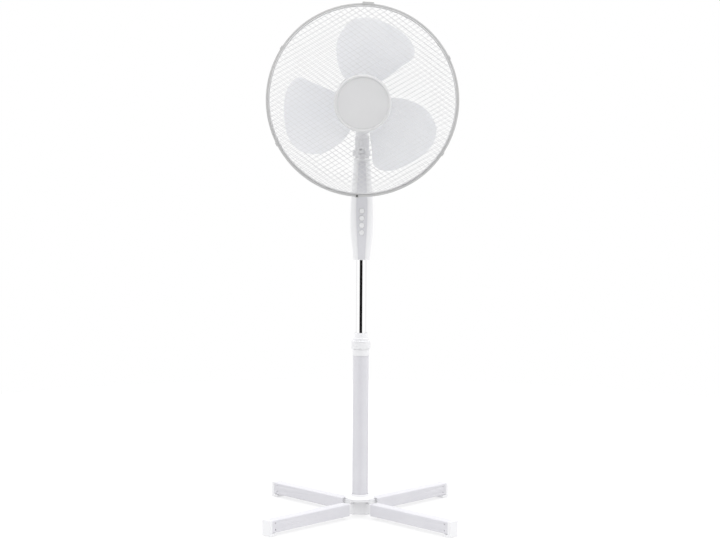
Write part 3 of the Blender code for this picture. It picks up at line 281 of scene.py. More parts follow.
finishes = {
    "whitePlastic": tint((0.84, 0.84, 0.85), (0.81, 0.81, 0.825), (0.30, 0.42), 1600, 0.000012),
    "whitePaint": tint((0.69, 0.685, 0.715), (0.66, 0.655, 0.69), (0.24, 0.38), 700, 0.00002),
    "greyPlastic": tint((0.60, 0.60, 0.595), (0.55, 0.55, 0.55), (0.36, 0.5), 1500, 0.000012),
    # trim plate grey: partly its own colour, partly painted shade for the front of the housing
    "panelGreyAndShade": tint((0.70, 0.70, 0.73), (0.67, 0.67, 0.70), (0.46, 0.62), 2600, 0.00002),
    "badgePlastic": tint((0.73, 0.73, 0.735), (0.70, 0.70, 0.705), (0.32, 0.44), 1800, 0.00001),
    "bladePlastic": tint(
        (0.90, 0.905, 0.925), (0.86, 0.87, 0.895), (0.26, 0.38), 900, 0.000012, inside=0.25,
    ),
    "chrome": tint(
        (0.93, 0.93, 0.93), (0.88, 0.88, 0.885), (0.04, 0.09), 500, 0.000002, metal=1.0,
        stretch=(1, 1, 0.02),
    ),
    "steel": tint(
        (0.56, 0.56, 0.55), (0.46, 0.46, 0.47), (0.28, 0.46), 1200, 0.000012, metal=1.0,
        stretch=(1, 1, 0.2),
    ),
    "laminations": tint(
        (0.30, 0.30, 0.32), (0.20, 0.19, 0.19), (0.38, 0.6), 900, 0.00002, metal=1.0, bands=0.001,
        bandDepth=0.00012,
    ),
    "copper": tint(
        (0.70, 0.27, 0.11), (0.50, 0.17, 0.07), (0.22, 0.4), 900, 0.00002, metal=1.0, bands=0.0009,
        bandDepth=0.0002,
    ),
    "bronze": tint((0.50, 0.34, 0.16), (0.36, 0.23, 0.10), (0.38, 0.6), 2400, 0.00004, metal=1.0),
    "castAlloy": tint((0.50, 0.505, 0.51), (0.40, 0.405, 0.41), (0.42, 0.62), 800, 0.00005, metal=1.0),
    "nylon": tint((0.76, 0.74, 0.66), (0.70, 0.67, 0.58), (0.42, 0.56), 1200, 0.000015, inside=0.2),
    "darkPlastic": tint((0.022, 0.022, 0.024), (0.03, 0.03, 0.032), (0.36, 0.54), 1400, 0.00002),
    "wireCoating": tint((0.78, 0.78, 0.785), (0.73, 0.73, 0.735), (0.28, 0.44), 1300, 0.00001),
}
finished = {}  # materials by name, each made once


def finish(name):
    if name in finished:
        return finished[name]
    look = finishes[name]
    material = bpy.data.materials.new(name)
    material.use_nodes = True
    tree = material.node_tree
    link = tree.links.new
    shader = tree.nodes["Principled BSDF"]
    shader.inputs["Metallic"].default_value = look.get("metal", 0.0)
    if "inside" in look:
        shader.inputs["Subsurface Weight"].default_value = look["inside"]
        shader.inputs["Subsurface Scale"].default_value = 0.003
        shader.inputs["Subsurface Radius"].default_value = (1, 1, 1)
    where = addedNode(tree, "TexCoord").outputs["Object"]
    scale = look.get("stretch", (1, 1, 1))
    stretch = addedNode(tree, "Mapping", {"Vector": where, "Scale": scale}).outputs["Vector"]
    # a slow drift of tone, as moulded or sprayed parts have
    values = {"Vector": where, "Scale": 14.0, "Detail": 3.0, "Roughness": 0.55}
    cloud = addedNode(tree, "TexNoise", values)
    drift = ranged(tree, cloud.outputs["Fac"], 0.3, 0.7)
    tones = {0: drift, 6: (*look["colour"], 1), 7: (*look["shade"], 1)}
    tone = addedNode(tree, "Mix", tones, {"data_type": "RGBA"})
    link(tone.outputs[2], shader.inputs["Base Color"])
    # handling marks: a few thin scuffs where the surface is a little duller
    values = {"Vector": where, "Scale": 90.0, "Detail": 5.0, "Roughness": 0.7, "Distortion": 1.4}
    scuff = addedNode(tree, "TexNoise", values)
    marks = ranged(tree, scuff.outputs["Fac"], 0.62, 0.76, 0.0, 0.10)
    # the fine grain of the surface moves its gloss and its height
    values = {"Vector": stretch, "Scale": look["grain"], "Detail": 3.0, "Roughness": 0.6}
    grain = addedNode(tree, "TexNoise", values).outputs["Fac"]
    gloss = ranged(tree, grain, 0.3, 0.7, *look["rough"])
    link(mathNode(tree, "ADD", gloss, marks), shader.inputs["Roughness"])
    last = addedNode(tree, "Bump", {"Height": grain, "Strength": 1.0, "Distance": look["depth"]})
    if "bands" in look:
        # thin layers stacked along the head, as in stamped sheets and wound wire
        values = {"Vector": where, "Scale": 1 / look["bands"] / 3.2, "Distortion": 0.6, "Detail": 1.0}
        settings = {"wave_type": "BANDS", "bands_direction": "Y"}
        wave = addedNode(tree, "TexWave", values, settings)
        values = {"Height": wave.outputs["Fac"], "Normal": last.outputs["Normal"]}
        last = addedNode(tree, "Bump", {**values, "Strength": 1.0, "Distance": look["bandDepth"]})
    link(last.outputs["Normal"], shader.inputs["Normal"])
    finished[name] = material
    return material


def dress(piece, finishName, body, slotName, *nodes):
    # finish, body and the CAD nodes that the piece stands for
    piece.data.materials.clear()
    piece.data.materials.append(finish(finishName))
    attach(piece, body)
    if nodes:
        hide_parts(*nodes)
    return piece


view = {"back": 3.7, "height": 0.87, "across": -0.0051, "tilt": 4.39, "roll": -0.35, "lens": 78.8}
bpy.ops.object.camera_add(
    location=(view["across"], -view["back"], view["height"]),
    rotation=(math.radians(90 - view["tilt"]), math.radians(view["roll"]), 0),
)
camera = bpy.context.object
camera.name = "camera"
camera.data.lens = view["lens"]
camera.data.sensor_width = 36
bpy.context.scene.camera = camera

floorLook = {
    "reach": 2.2, "glow": 0.62, "colour": (0.33, 0.33, 0.33, 1), "fields": 3.0,
    "mirrored": (0.10, 0.97),
}
pick()
bpy.ops.mesh.primitive_circle_add(
    vertices=128, radius=floorLook["reach"], fill_type="NGON", location=(0, 0, -0.0004),
)
floor = called("floor")
paper = bpy.data.materials.new("floorPaper")
paper.use_nodes = True
paperShader = paper.node_tree.nodes["Principled BSDF"]
paperShader.inputs["Base Color"].default_value = floorLook["colour"]
paperShader.inputs["Roughness"].default_value = 0.9
paperShader.inputs["Emission Color"].default_value = (1, 1, 1, 1)
paperShader.inputs["Emission Strength"].default_value = floorLook["glow"]
# bright metal mirrors soft dark fields round the stand, so that the tube shows from every side
tree = paper.node_tree
spot = addedNode(tree, "TexCoord").outputs["Object"]
axes = addedNode(tree, "SeparateXYZ", {"Vector": spot}).outputs
bearing = mathNode(tree, "ARCTAN2", axes["X"], axes["Y"])
wave = mathNode(tree, "COSINE", mathNode(tree, "MULTIPLY", bearing, floorLook["fields"]))
fields = ranged(tree, wave, -0.95, -0.25, *floorLook["mirrored"])
mirrored = addedNode(tree, "Emission", {"Color": fields})
ray = addedNode(tree, "LightPath").outputs["Is Glossy Ray"]
shaders = {0: ray, 1: paperShader.outputs["BSDF"], 2: mirrored.outputs["Emission"]}
surface = addedNode(tree, "MixShader", shaders).outputs["Shader"]
tree.links.new(surface, tree.nodes["Material Output"].inputs["Surface"])
floor.data.materials.append(paper)


def compassRamp(tree, share, degrees, tones):
    # a tone for each bearing round the stand; 0 is the front
    ramp = addedNode(tree, "ValToRGB", {"Fac": share})
    stops = ramp.color_ramp.elements
    while len(stops) < len(degrees):
        stops.new(0.5)
    for stop, bearing, tone in zip(stops, degrees, tones):
        stop.position = (bearing + 180) / 360
        stop.color = (tone, tone, tone, 1)
    return ramp.outputs["Color"]


def makeStudio():
    # a white card to the eye; as light, bright sides and back, a dimmer front and a bright sky
    stops = {
        "degrees": (-180, -130, -100, -38, -34, 23, 27, 95, 130, 180),
        "light": (1.0, 1.0, 1.1, 1.1, 0.62, 0.62, 1.1, 1.1, 1.0, 1.0),
    }
    flag = {
        "degrees": (-132, -129, -123, -120, -38, -34, 21, 25, 99, 102, 108, 111),
        "shade": (0, 0.25, 0.25, 0, 0, 1, 1, 0, 0, 0.25, 0.25, 0),
        "dark": 0.985, "height": 0.16, "fade": 0.06,
    }
    overhead = {"start": 0.45, "end": 0.75, "light": (1.7, 1.7, 1.72, 1)}
    world = bpy.data.worlds.new("studio")
    bpy.context.scene.world = world
    world.use_nodes = True
    tree = world.node_tree
    card = tree.nodes["Background"]
    card.inputs["Color"].default_value = (1, 1, 1, 1)
    card.inputs["Strength"].default_value = 1.0
    around = addedNode(tree, "TexCoord").outputs["Generated"]
    axes = addedNode(tree, "SeparateXYZ", {"Vector": around}).outputs
    front = mathNode(tree, "MULTIPLY", axes["Y"], -1.0)
    share = ranged(tree, mathNode(tree, "ARCTAN2", axes["X"], front), -math.pi, math.pi)
    light = compassRamp(tree, share, stops["degrees"], stops["light"])
    # dark flags ahead and at the sides, so low that only the upright tube mirrors them
    shade = compassRamp(tree, share, flag["degrees"], flag["shade"])
    level = mathNode(tree, "ABSOLUTE", axes["Z"])
    near = ranged(tree, level, flag["height"], flag["height"] + flag["fade"], flag["dark"], 0.0)
    darkness = mathNode(tree, "MULTIPLY", near, shade)
    mixed = {"data_type": "RGBA"}
    flagged = addedNode(tree, "Mix", {0: darkness, 6: light, 7: (0, 0, 0, 1)}, mixed).outputs[2]
    up = ranged(tree, axes["Z"], overhead["start"], overhead["end"])
    sky = addedNode(tree, "Mix", {0: up, 6: flagged, 7: overhead["light"]}, mixed).outputs[2]
    lamp = addedNode(tree, "Background", {"Color": sky}).outputs["Background"]
    ray = addedNode(tree, "LightPath").outputs["Is Camera Ray"]
    shaders = {0: ray, 1: lamp, 2: card.outputs["Background"]}
    chosen = addedNode(tree, "MixShader", shaders).outputs["Shader"]
    tree.links.new(chosen, tree.nodes["World Output"].inputs["Surface"])


makeStudio()
softboxes = {
    "keyLight": {"at": (1.9, -1.7, 2.3), "size": 1.3, "watts": 3},
    "fillLight": {"at": (-2.2, -1.2, 1.6), "size": 1.4, "watts": 1},
}
aim = Vector((0, 0, 0.7))
for name, light in softboxes.items():
    bpy.ops.object.light_add(type="AREA", location=light["at"])
    lamp = bpy.context.object
    lamp.name = name
    lamp.data.size = light["size"]
    lamp.data.energy = light["watts"]
    lamp.rotation_euler = (aim - Vector(light["at"])).to_track_quat("-Z", "Y").to_euler()
bpy.context.scene.view_settings.view_transform = "Standard"
print("camera, floor and light stand")


legNames = ("rear_right", "rear_left", "front_left", "front_right")
diagonal = math.sqrt(2)
legWidth = 0.025


def cornerTurn(index):
    return turned(45 + 90 * index)


def makeLegs():
    leg = {
        "rounding": 0.0025, "wall": 0.0012, "hole": 0.0015, "holeIn": 0.011, "holePitch": 0.015,
        "socket": 0.040,
    }
    low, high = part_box("leg_rear_right")
    half = legWidth / 2
    start, end = low.x * diagonal + half, high.x * diagonal - half
    first = boxPiece("leg", (start, -half, low.z), (end, half, high.z))
    # the four long corners of the tube are rounded
    mode("EDIT")
    bpy.ops.mesh.select_all(action="DESELECT")
    shape = bmesh.from_edit_mesh(first.data)
    for edge in shape.edges:
        run = edge.verts[0].co - edge.verts[1].co
        edge.select = abs(run.x) > 0.1
    bmesh.update_edit_mesh(first.data)
    bpy.ops.mesh.bevel(offset=leg["rounding"], segments=5, affect="EDGES")
    # the inner end is open: its face goes in by the wall and back into the tube
    bpy.ops.mesh.select_all(action="DESELECT")
    shape = bmesh.from_edit_mesh(first.data)
    for face in shape.faces:
        face.select = face.normal.x < -0.9
    bmesh.update_edit_mesh(first.data)
    bpy.ops.mesh.inset(thickness=leg["wall"])
    bpy.ops.mesh.extrude_region_move(TRANSFORM_OT_translate={"value": (leg["socket"], 0, 0)})
    mode("OBJECT")
    middle = (low.z + high.z) / 2
    for across in (-1, 1):
        for lift in (-1, 1):
            at = moved(end - leg["holeIn"], across * half, middle + lift * leg["holePitch"] / 2)
            cutRod(first, leg["hole"], -0.003, 0.003, at @ turned(90, "X"), 20)
    bevelled(first, 0.00025, 2, 50)
    for index, corner in enumerate(legNames):
        piece = settle(copied(first, "legTube_" + corner, cornerTurn(index)))
        dress(piece, "whitePaint", "stand", "white_paint", "leg_" + corner)
    bpy.data.objects.remove(first)


def makeFeet():
    foot = {
        "lip": 0.001, "thick": 0.0077, "back": 0.0117, "front": 0.004, "clear": 0.0067,
        "rounding": 0.0011,
    }
    low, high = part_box("foot_cap_rear_right")
    half = legWidth / 2 + foot["lip"]
    reach = high.x * diagonal - half
    face = reach - foot["thick"]
    first = boxPiece("footCap", (face, -half, low.z), (reach, half, high.z))
    addBox(first, (face - foot["back"], -half, low.z), (face + foot["front"], half, foot["clear"]))
    bevelled(first, foot["rounding"], 4, 50)
    for index, corner in enumerate(legNames):
        piece = settle(copied(first, "footCap_" + corner, cornerTurn(index)), sharp=45)
        dress(piece, "whitePlastic", "stand", "white_plastic", "foot_cap_" + corner)
    bpy.data.objects.remove(first)


def makeHub():
    hub = {
        "half": 0.0192, "arm": (0.083, 0.0110, 0.0085, 0.0345), "web": 0.0045, "tongueStart": 0.050,
        "rounding": 0.0014, "plate": 0.0345, "plateThick": 0.004, "spigot": 0.0172, "spigotLong": 0.033,
    }
    low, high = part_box("base_hub")
    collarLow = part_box("pole_collar")[0].z
    plateTop = collarLow - clearance
    plateLow = plateTop - hub["plateThick"]
    piece = boxPiece(
        "hubBlock", (-hub["half"], -hub["half"], low.z),
        (hub["half"], hub["half"], plateLow + clearance), hub["rounding"], segments=4,
    )
    reach, half, armLow, armHigh = hub["arm"]
    for index in range(4):
        addBox(
            piece, (0, -hub["web"], armLow), (hub["tongueStart"] + 0.01, hub["web"], armHigh - 0.002),
            0, cornerTurn(index),
        )
        addBox(
            piece, (hub["tongueStart"], -half, armLow), (reach, half, armHigh), 0.001,
            cornerTurn(index),
        )
    outline = softened(
        [(0, plateLow), (hub["plate"], plateLow), (hub["plate"], plateTop), (0, plateTop)], 0.0012,
    )
    added(piece, spinPiece("plate", outline, steps=96))
    addRod(piece, hub["spigot"], plateTop - 0.001, plateTop + hub["spigotLong"], None, 64)
    settle(piece)
    dress(piece, "whitePlastic", "stand", "white_plastic", "base_hub")


def makePole():
    collar = {"inner": 0.0190, "height": 0.011, "reach": 0.0345}
    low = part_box("pole_collar")[0].z
    inner, top, reach = collar["inner"], low + collar["height"], collar["reach"]
    outline = [
        (inner, low + 0.005), (inner, top), (inner + 0.0021, top), (inner + 0.0027, low + 0.0066),
        (reach - 0.0085, low + 0.0046), (reach - 0.0016, low + 0.0030), (reach, low + 0.0012),
        (reach, low), (inner, low), (inner, low + 0.005),
    ]
    piece = spinPiece("collar", softened(outline, 0.0012, 4), steps=128)
    dress(piece, "whitePlastic", "stand", "white_plastic", "pole_collar")
    low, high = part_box("lower_pole")
    outline = softened(ringOutline(high.x - 0.0012, high.x, low.z, high.z), 0.0004)
    piece = spinPiece("poleTube", outline, steps=128)
    dress(piece, "whitePaint", "stand", "white_paint", "lower_pole")
    low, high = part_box("pole_collet")
    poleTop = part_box("lower_pole")[1].z
    rim = poleTop + 0.0035
    outline = [
        (0.0130, rim), (0.0130, high.z), (0.0172, high.z), (0.0172, rim), (0.0198, rim),
        (0.0198, rim - 0.0155), (0.0190, rim - 0.0155),
        (0.0190, poleTop + clearance), (0.0172, poleTop + clearance), (0.0172, low.z), (0.0130, low.z),
        (0.0130, rim),
    ]
    piece = spinPiece("colletSleeve", softened(outline, 0.0006), steps=96)
    dress(piece, "whitePlastic", "stand", "white_plastic", "pole_collet")


def makeLockNut():
    nut = {"bore": 0.0135, "ribs": 44, "ribDepth": 0.0006, "step": 0.020, "cone": (0.0170, 0.0150)}
    low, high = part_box("height_lock_nut")
    outer, step = high.x, low.z + nut["step"]
    outline = [
        (nut["bore"], low.z + 0.03), (nut["bore"], high.z), (nut["cone"][1], high.z),
        (nut["cone"][0], step + 0.0012), (nut["cone"][0] + 0.0012, step),
        (outer - 0.0008, step), (outer, step - 0.0014), (outer, step - 0.003), (outer, low.z + 0.003),
        (outer, low.z + 0.0014), (outer - 0.0008, low.z),
        (0.0182, low.z), (0.0182, low.z + 0.025), (nut["bore"], low.z + 0.03),
    ]
    piece = spinPiece("lockNut", softened(outline, 0.0007), steps=264, sharp=60)
    ribbed(piece, nut["ribs"], nut["ribDepth"], low.z + 0.002, step - 0.002, outer - 0.0005)
    dress(piece, "whitePlastic", "lock_nut", "white_plastic", "height_lock_nut")


def makeTube():
    low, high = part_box("inner_tube")
    outline = softened(ringOutline(high.x - 0.0010, high.x, low.z, high.z), 0.0003)
    piece = spinPiece("chromeTube", outline, steps=160)
    dress(piece, "chrome", "mast", "chrome", "inner_tube")


makeLegs()
makeFeet()
makeHub()
makePole()
makeLockNut()
makeTube()
print("base, pole and tube are made")


housing = {
    "form": (
        (0.00, 0.0193, 0.0190), (0.12, 0.0222, 0.0212), (0.28, 0.0264, 0.0240), (0.40, 0.0269, 0.0247),
        (0.54, 0.0267, 0.0246), (0.72, 0.0240, 0.0228), (0.86, 0.0213, 0.0212), (1.00, 0.0195, 0.0200),
    ),
    "power": 2.4, "wall": 0.0024, "recess": 0.0007, "panelThick": 0.0006, "bandMiddle": 0.0132,
    "bandEnd": 0.0080, "button": 0.0062, "levels": 72, "gap": clearance,
}
buttonNames = ("off", "low", "medium", "high")
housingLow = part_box("housing_front")[0].z
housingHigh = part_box("housing_front")[1].z


def eased(rows, share):
    # smooth value between rows of (share, value, value)
    index = 0
    while index < len(rows) - 2 and share > rows[index + 1][0]:
        index += 1
    before, after = rows[index], rows[index + 1]
    previous, following = rows[max(index - 1, 0)], rows[min(index + 2, len(rows) - 1)]
    span = after[0] - before[0]
    t = min(max((share - before[0]) / span, 0.0), 1.0)
    values = []
    for k in range(1, len(before)):
        slopeIn = (after[k] - previous[k]) / (after[0] - previous[0]) * span
        slopeOut = (following[k] - before[k]) / (following[0] - before[0]) * span
        a = 2 * before[k] - 2 * after[k] + slopeIn + slopeOut
        b = 3 * after[k] - 3 * before[k] - 2 * slopeIn - slopeOut
        values.append(((a * t + b) * t + slopeIn) * t + before[k])
    return values


def housingSize(height):
    return eased(housing["form"], (height - housingLow) / (housingHigh - housingLow))


def bandHalf(height):
    share = min(max((height - housingLow) / (housingHigh - housingLow), 0.0), 1.0)
    swell = housing["bandMiddle"] - housing["bandEnd"]
    return housing["bandEnd"] + swell * math.sin(math.pi * share) ** 1.5


def skinDepth(x, halfWidth, halfDepth):
    share = min(abs(x) / halfWidth, 1.0)
    return halfDepth * (1 - share ** housing["power"]) ** (1 / housing["power"])


def sheetPiece(name, columns, rows, placePoint, thick, offset):
    # a grid whose points a function places, then thickened to a wall
    pick()
    bpy.ops.mesh.primitive_grid_add(x_subdivisions=columns, y_subdivisions=rows, size=2)
    piece = called(name)
    for point in piece.data.vertices:
        column = round((point.co.x + 1) / 2 * columns)
        row = round((point.co.y + 1) / 2 * rows)
        point.co = placePoint(column, row)
    settle(piece, outwards=False)
    wall = piece.modifiers.new("wall", "SOLIDIFY")
    wall.thickness = thick
    wall.offset = offset
    wall.use_even_offset = True
    bpy.ops.object.modifier_apply(modifier=wall.name)
    return piece


def shellHalf(name, facing, recess):
    # columns run round the half section: side, edge of the band, band, and the same back
    sideSteps, bandSteps = 22, 8

    def placesAt(height):
        halfWidth, halfDepth = housingSize(height)
        band = bandHalf(height) + housing["gap"]
        sides = [
            band + (halfWidth - band) * math.cos(math.pi / 2 * k / sideSteps)
            for k in range(sideSteps + 1)
        ]
        middle = [-band + 2 * band * k / bandSteps for k in range(bandSteps + 1)]
        left, right = [(-x, 0.0) for x in sides], [(x, 0.0) for x in reversed(sides)]
        places = left + [(x, recess) for x in middle] + right
        return [
            (x, facing * (skinDepth(x, halfWidth, halfDepth) + housing["gap"] - drop))
            for x, drop in places
        ]

    columns = 2 * (sideSteps + 1) + bandSteps
    rows = {
        row: placesAt(housingLow + (housingHigh - housingLow) * row / housing["levels"])
        for row in range(housing["levels"] + 1)
    }

    def point(column, row):
        x, y = rows[row][column]
        return Vector((x, y, housingLow + (housingHigh - housingLow) * row / housing["levels"]))

    return sheetPiece(
        name, columns, housing["levels"], point, housing["wall"], 1.0 if facing > 0 else -1.0,
    )


def buttonHeights():
    boxes = [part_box("button_" + name) for name in buttonNames]
    return [(low.z + high.z) / 2 for low, high in boxes]


def holesThrough(piece, radius):
    for height in buttonHeights():
        at = moved(0, 0, height) @ turned(90, "X")
        cutRod(piece, radius, 0.004, 0.05, at, 48)
    return piece


def makeHousing():
    hole = housing["button"] + 0.0004
    front = holesThrough(shellHalf("housingFront", -1, housing["recess"]), hole)
    dress(settle(front, sharp=32), "whitePlastic", "mast", "white_plastic", "housing_front")
    rear = shellHalf("housingRear", 1, 0.0)
    glandLow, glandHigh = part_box("cord_gland")
    glandPlace = moved(0, 0, (glandLow.z + glandHigh.z) / 2) @ turned(-90, "X")
    cutRod(rear, 0.0053, 0.004, 0.05, glandPlace, 40)
    dress(settle(rear, sharp=32), "whitePlastic", "mast", "white_plastic", "housing_rear")
    # a thin plate lies in the band and follows its outline; its grey, darker than the housing, is
    # partly the trim's own colour and partly painted shade down the front
    low, high = housingLow + 0.002, housingHigh - 0.002

    def point(column, row):
        height = low + (high - low) * row / 64
        band = bandHalf(height) - housing["gap"]
        x = -band + 2 * band * column / 14
        depth = skinDepth(x, *housingSize(height)) + housing["gap"] - housing["recess"] + 0.0001
        return Vector((x, -depth, height))

    panel = sheetPiece("panel", 14, 64, point, housing["panelThick"], 1.0)
    holesThrough(panel, hole)
    dress(settle(panel, sharp=32), "panelGreyAndShade", "mast", "panel_plastic", "control_panel")
    depth = glandHigh.y
    outline = [
        (0.0032, depth - 0.004), (0.0032, depth), (0.0060, depth), (0.0075, depth - 0.0031),
        (0.0050, depth - 0.0031), (0.0050, depth - 0.009), (0.0032, depth - 0.009),
        (0.0032, depth - 0.004),
    ]
    gland = spinPiece("glandRing", softened(outline, 0.0006), glandPlace, 64)
    dress(gland, "darkPlastic", "mast", "dark_plastic", "cord_gland")


def makeButtons():
    button = {"radius": housing["button"], "dish": 0.0004, "edge": 0.0009}
    for name, height in zip(buttonNames, buttonHeights()):
        face = -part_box("button_" + name)[0].y
        radius = button["radius"]
        outline = [
            (0, face - button["dish"]), (radius * 0.45, face - button["dish"] * 0.85),
            (radius * 0.78, face), (radius - 0.0002, face - 0.0003),
            (radius, face - 0.0012), (radius, face - 0.008), (radius - 0.001, face - 0.0085),
            (0.0030, face - 0.009), (0.0030, face - 0.0105), (0, face - 0.0105),
        ]
        place = moved(0, 0, height) @ turned(90, "X")
        piece = spinPiece("key_" + name, softened(outline, button["edge"], 4), place, 64, 40)
        dress(piece, "whitePlastic", name + "_button", "white_plastic", "button_" + name)


def makeTiltPost():
    post = {
        "half": 0.0067, "deep": 0.0099, "lug": 0.0110, "bore": 0.0041, "thick": 0.0034,
        "hollow": 0.0017, "hollowPitch": 0.0032,
    }
    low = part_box("tilt_post")[0].z
    pivot = Vector(joints["tilt"]["pos_m"])
    halfWidth, halfDepth = housingSize(housingHigh)
    cap = rodPiece(
        "topCap", 1.0, low, low + post["thick"], Matrix.Diagonal((halfWidth, halfDepth, 1, 1)), 96,
    )
    bevelled(cap, 0.0009, 3, 50)
    addBox(cap, (-post["half"], -post["deep"], low + 0.001), (post["half"], post["deep"], pivot.z))
    sideways = Matrix.Translation(pivot) @ turned(90, "Y")
    addRod(cap, post["lug"], -post["half"], post["half"], sideways, 72)
    cutRod(cap, post["bore"], -0.03, 0.03, sideways, 48)
    # two sink holes show dark on the front of the lug
    forwards = Matrix.Translation(pivot) @ turned(90, "X")
    for across in (-post["hollowPitch"], post["hollowPitch"]):
        cutRod(
            cap, post["hollow"], 0.0055, 0.02, forwards @ moved(across, -0.0015, 0), 24,
        )
    dress(settle(cap), "whitePlastic", "mast", "white_plastic", "tilt_post")


makeHousing()
makeButtons()
makeTiltPost()
print("control housing is made")


def makeNeck():
    neck = {
        "half": 0.0165, "round": 0.0120, "shoulder": 0.040, "collar": 0.0150, "slot": 0.0073,
        "slotTop": 0.0128, "earTop": 0.0785, "ear": (0.021, 0.0055, 0.005), "pin": 0.0020,
        "pinLong": 0.0039, "bore": 0.0061, "boltHole": 0.0043, "ribPitch": 0.0072, "ribHalf": 0.0022,
        "nut": 0.0085, "nutThick": 0.0045,
    }
    flat = turned(90, "Y")
    half, around, shoulder = neck["half"], neck["round"], neck["shoulder"]
    cheek = [
        (-around * math.cos(math.pi * k / 32), -around * math.sin(math.pi * k / 32)) for k in range(33)
    ]
    outline = cheek + [
        (around, shoulder - 0.003), (around - 0.0006, shoulder - 0.0008), (around - 0.003, shoulder),
    ]
    outline += [
        (0.003 - around, shoulder), (0.0006 - around, shoulder - 0.0008), (-around, shoulder - 0.003),
    ]
    piece = slabPiece("neckBlock", outline, -half, half)
    bevelled(piece, 0.0016, 3, 50)
    top = neck["earTop"] + 0.0035
    outline = [
        (0, top), (0.0095, top), (0.0095, neck["earTop"] - 0.001),
        (neck["collar"], neck["earTop"] - 0.002), (neck["collar"], shoulder + 0.006),
        (neck["collar"] + 0.0012, shoulder - 0.004), (0, shoulder - 0.004),
    ]
    added(piece, spinPiece("collar", softened(outline, 0.0012), steps=96))
    reach, wide, thick = neck["ear"]
    addBox(
        piece, (0.005, -wide, neck["earTop"] - thick), (reach + wide * 0.9, wide, neck["earTop"]),
        0.0012,
    )
    pinTop = neck["earTop"] + neck["pinLong"]
    addRod(piece, neck["pin"], neck["earTop"] - 0.002, pinTop, moved(reach, 0, 0), 24)
    cutRod(piece, neck["bore"], 0.036, 0.12, None, 48)
    cutBox(piece, (-neck["slot"], -0.05, -0.05), (neck["slot"], 0.05, neck["slotTop"]))
    cutRod(piece, neck["boltHole"], -0.05, 0.05, flat, 48)
    # ribs down the front and back of the block, where the mould cores it out
    for facing in (-1, 1):
        for across in (-neck["ribPitch"], 0, neck["ribPitch"]):
            low = (across - neck["ribHalf"], facing * around - 0.0012, 0.0165)
            high = (across + neck["ribHalf"], facing * around + 0.0012, shoulder - 0.005)
            cutBox(piece, low, high, 0.0006)
    settle(piece, neckPlace)
    dress(piece, "whitePlastic", "neck", "white_plastic", "tilt_neck")
    face = half + clearance
    outline = [
        (0, face + 0.0030), (0.0045, face + 0.0029), (0.0066, face + 0.0018), (0.0070, face),
        (0.0040, face), (0.0040, -face - 0.0055), (0, -face - 0.0055),
    ]
    bolt = spinPiece("tiltBolt", softened(outline, 0.0007), None, 48)
    for turn in (0, 90):
        cutBox(bolt, (-0.0032, -0.0006, face + 0.0016), (0.0032, 0.0006, face + 0.004), 0, turned(turn))
    dress(settle(bolt, neckPlace @ flat), "whitePlastic", "neck", "white_plastic", "tilt_bolt")
    nut = rodPiece("tiltNut", neck["nut"], -face - neck["nutThick"], -face, None, 6)
    bevelled(nut, 0.0006, 3, 25)
    cutRod(nut, 0.0041, -0.05, 0.05, None, 32)
    dress(settle(nut, neckPlace @ flat), "whitePlastic", "neck", "white_plastic", "tilt_nut")


makeNeck()
print("neck is made")


motor = {
    "radius": 0.056, "wall": 0.0022, "front": 0.026, "back": 0.088, "boss": 0.022, "bossLong": 0.016,
    "corner": 0.006, "openHalf": 0.034, "gearLine": 0.040, "knobX": 0.0155, "knobHole": 0.0093,
    "frontSlots": 18, "backSlots": 28, "sideSlots": 30,
}


def makeFrontCover():
    radius, wall, front, corner = motor["radius"], motor["wall"], motor["front"], motor["corner"]
    boss, bossTop = motor["boss"], motor["front"] + motor["bossLong"]
    outline = [
        (radius - wall, 0.006), (radius - wall, front - wall - corner),
        (radius - wall - corner, front - wall), (boss - wall, front - wall),
        (boss - wall, bossTop - wall),
        (0.010, bossTop - wall), (0.010, bossTop), (boss, bossTop), (boss, front),
        (radius - corner, front), (radius - 0.0018, front - 0.0018), (radius, front - corner),
        (radius, clearance), (radius - wall, clearance), (radius - wall, 0.006),
    ]
    piece = spinPiece("motorFront", softened(outline, 0.0012), steps=128)
    cutBox(piece, (-motor["openHalf"], -0.07, -0.01), (motor["openHalf"], -0.030, 0.0225), 0.002)
    # ring of air slots between the boss and the corner
    for index in range(motor["frontSlots"]):
        bearing = math.tau * (index + 0.5) / motor["frontSlots"]
        turn = Matrix.Rotation(bearing, 4, "Z")
        if abs(math.degrees(bearing) - 270) > 50:
            cutBox(piece, (0.030, -0.0022, front - 0.006), (0.045, 0.0022, front + 0.004), 0.0015, turn)
    settle(piece, headPlace)
    dress(piece, "whitePlastic", "head", "white_plastic", "motor_front_cover")


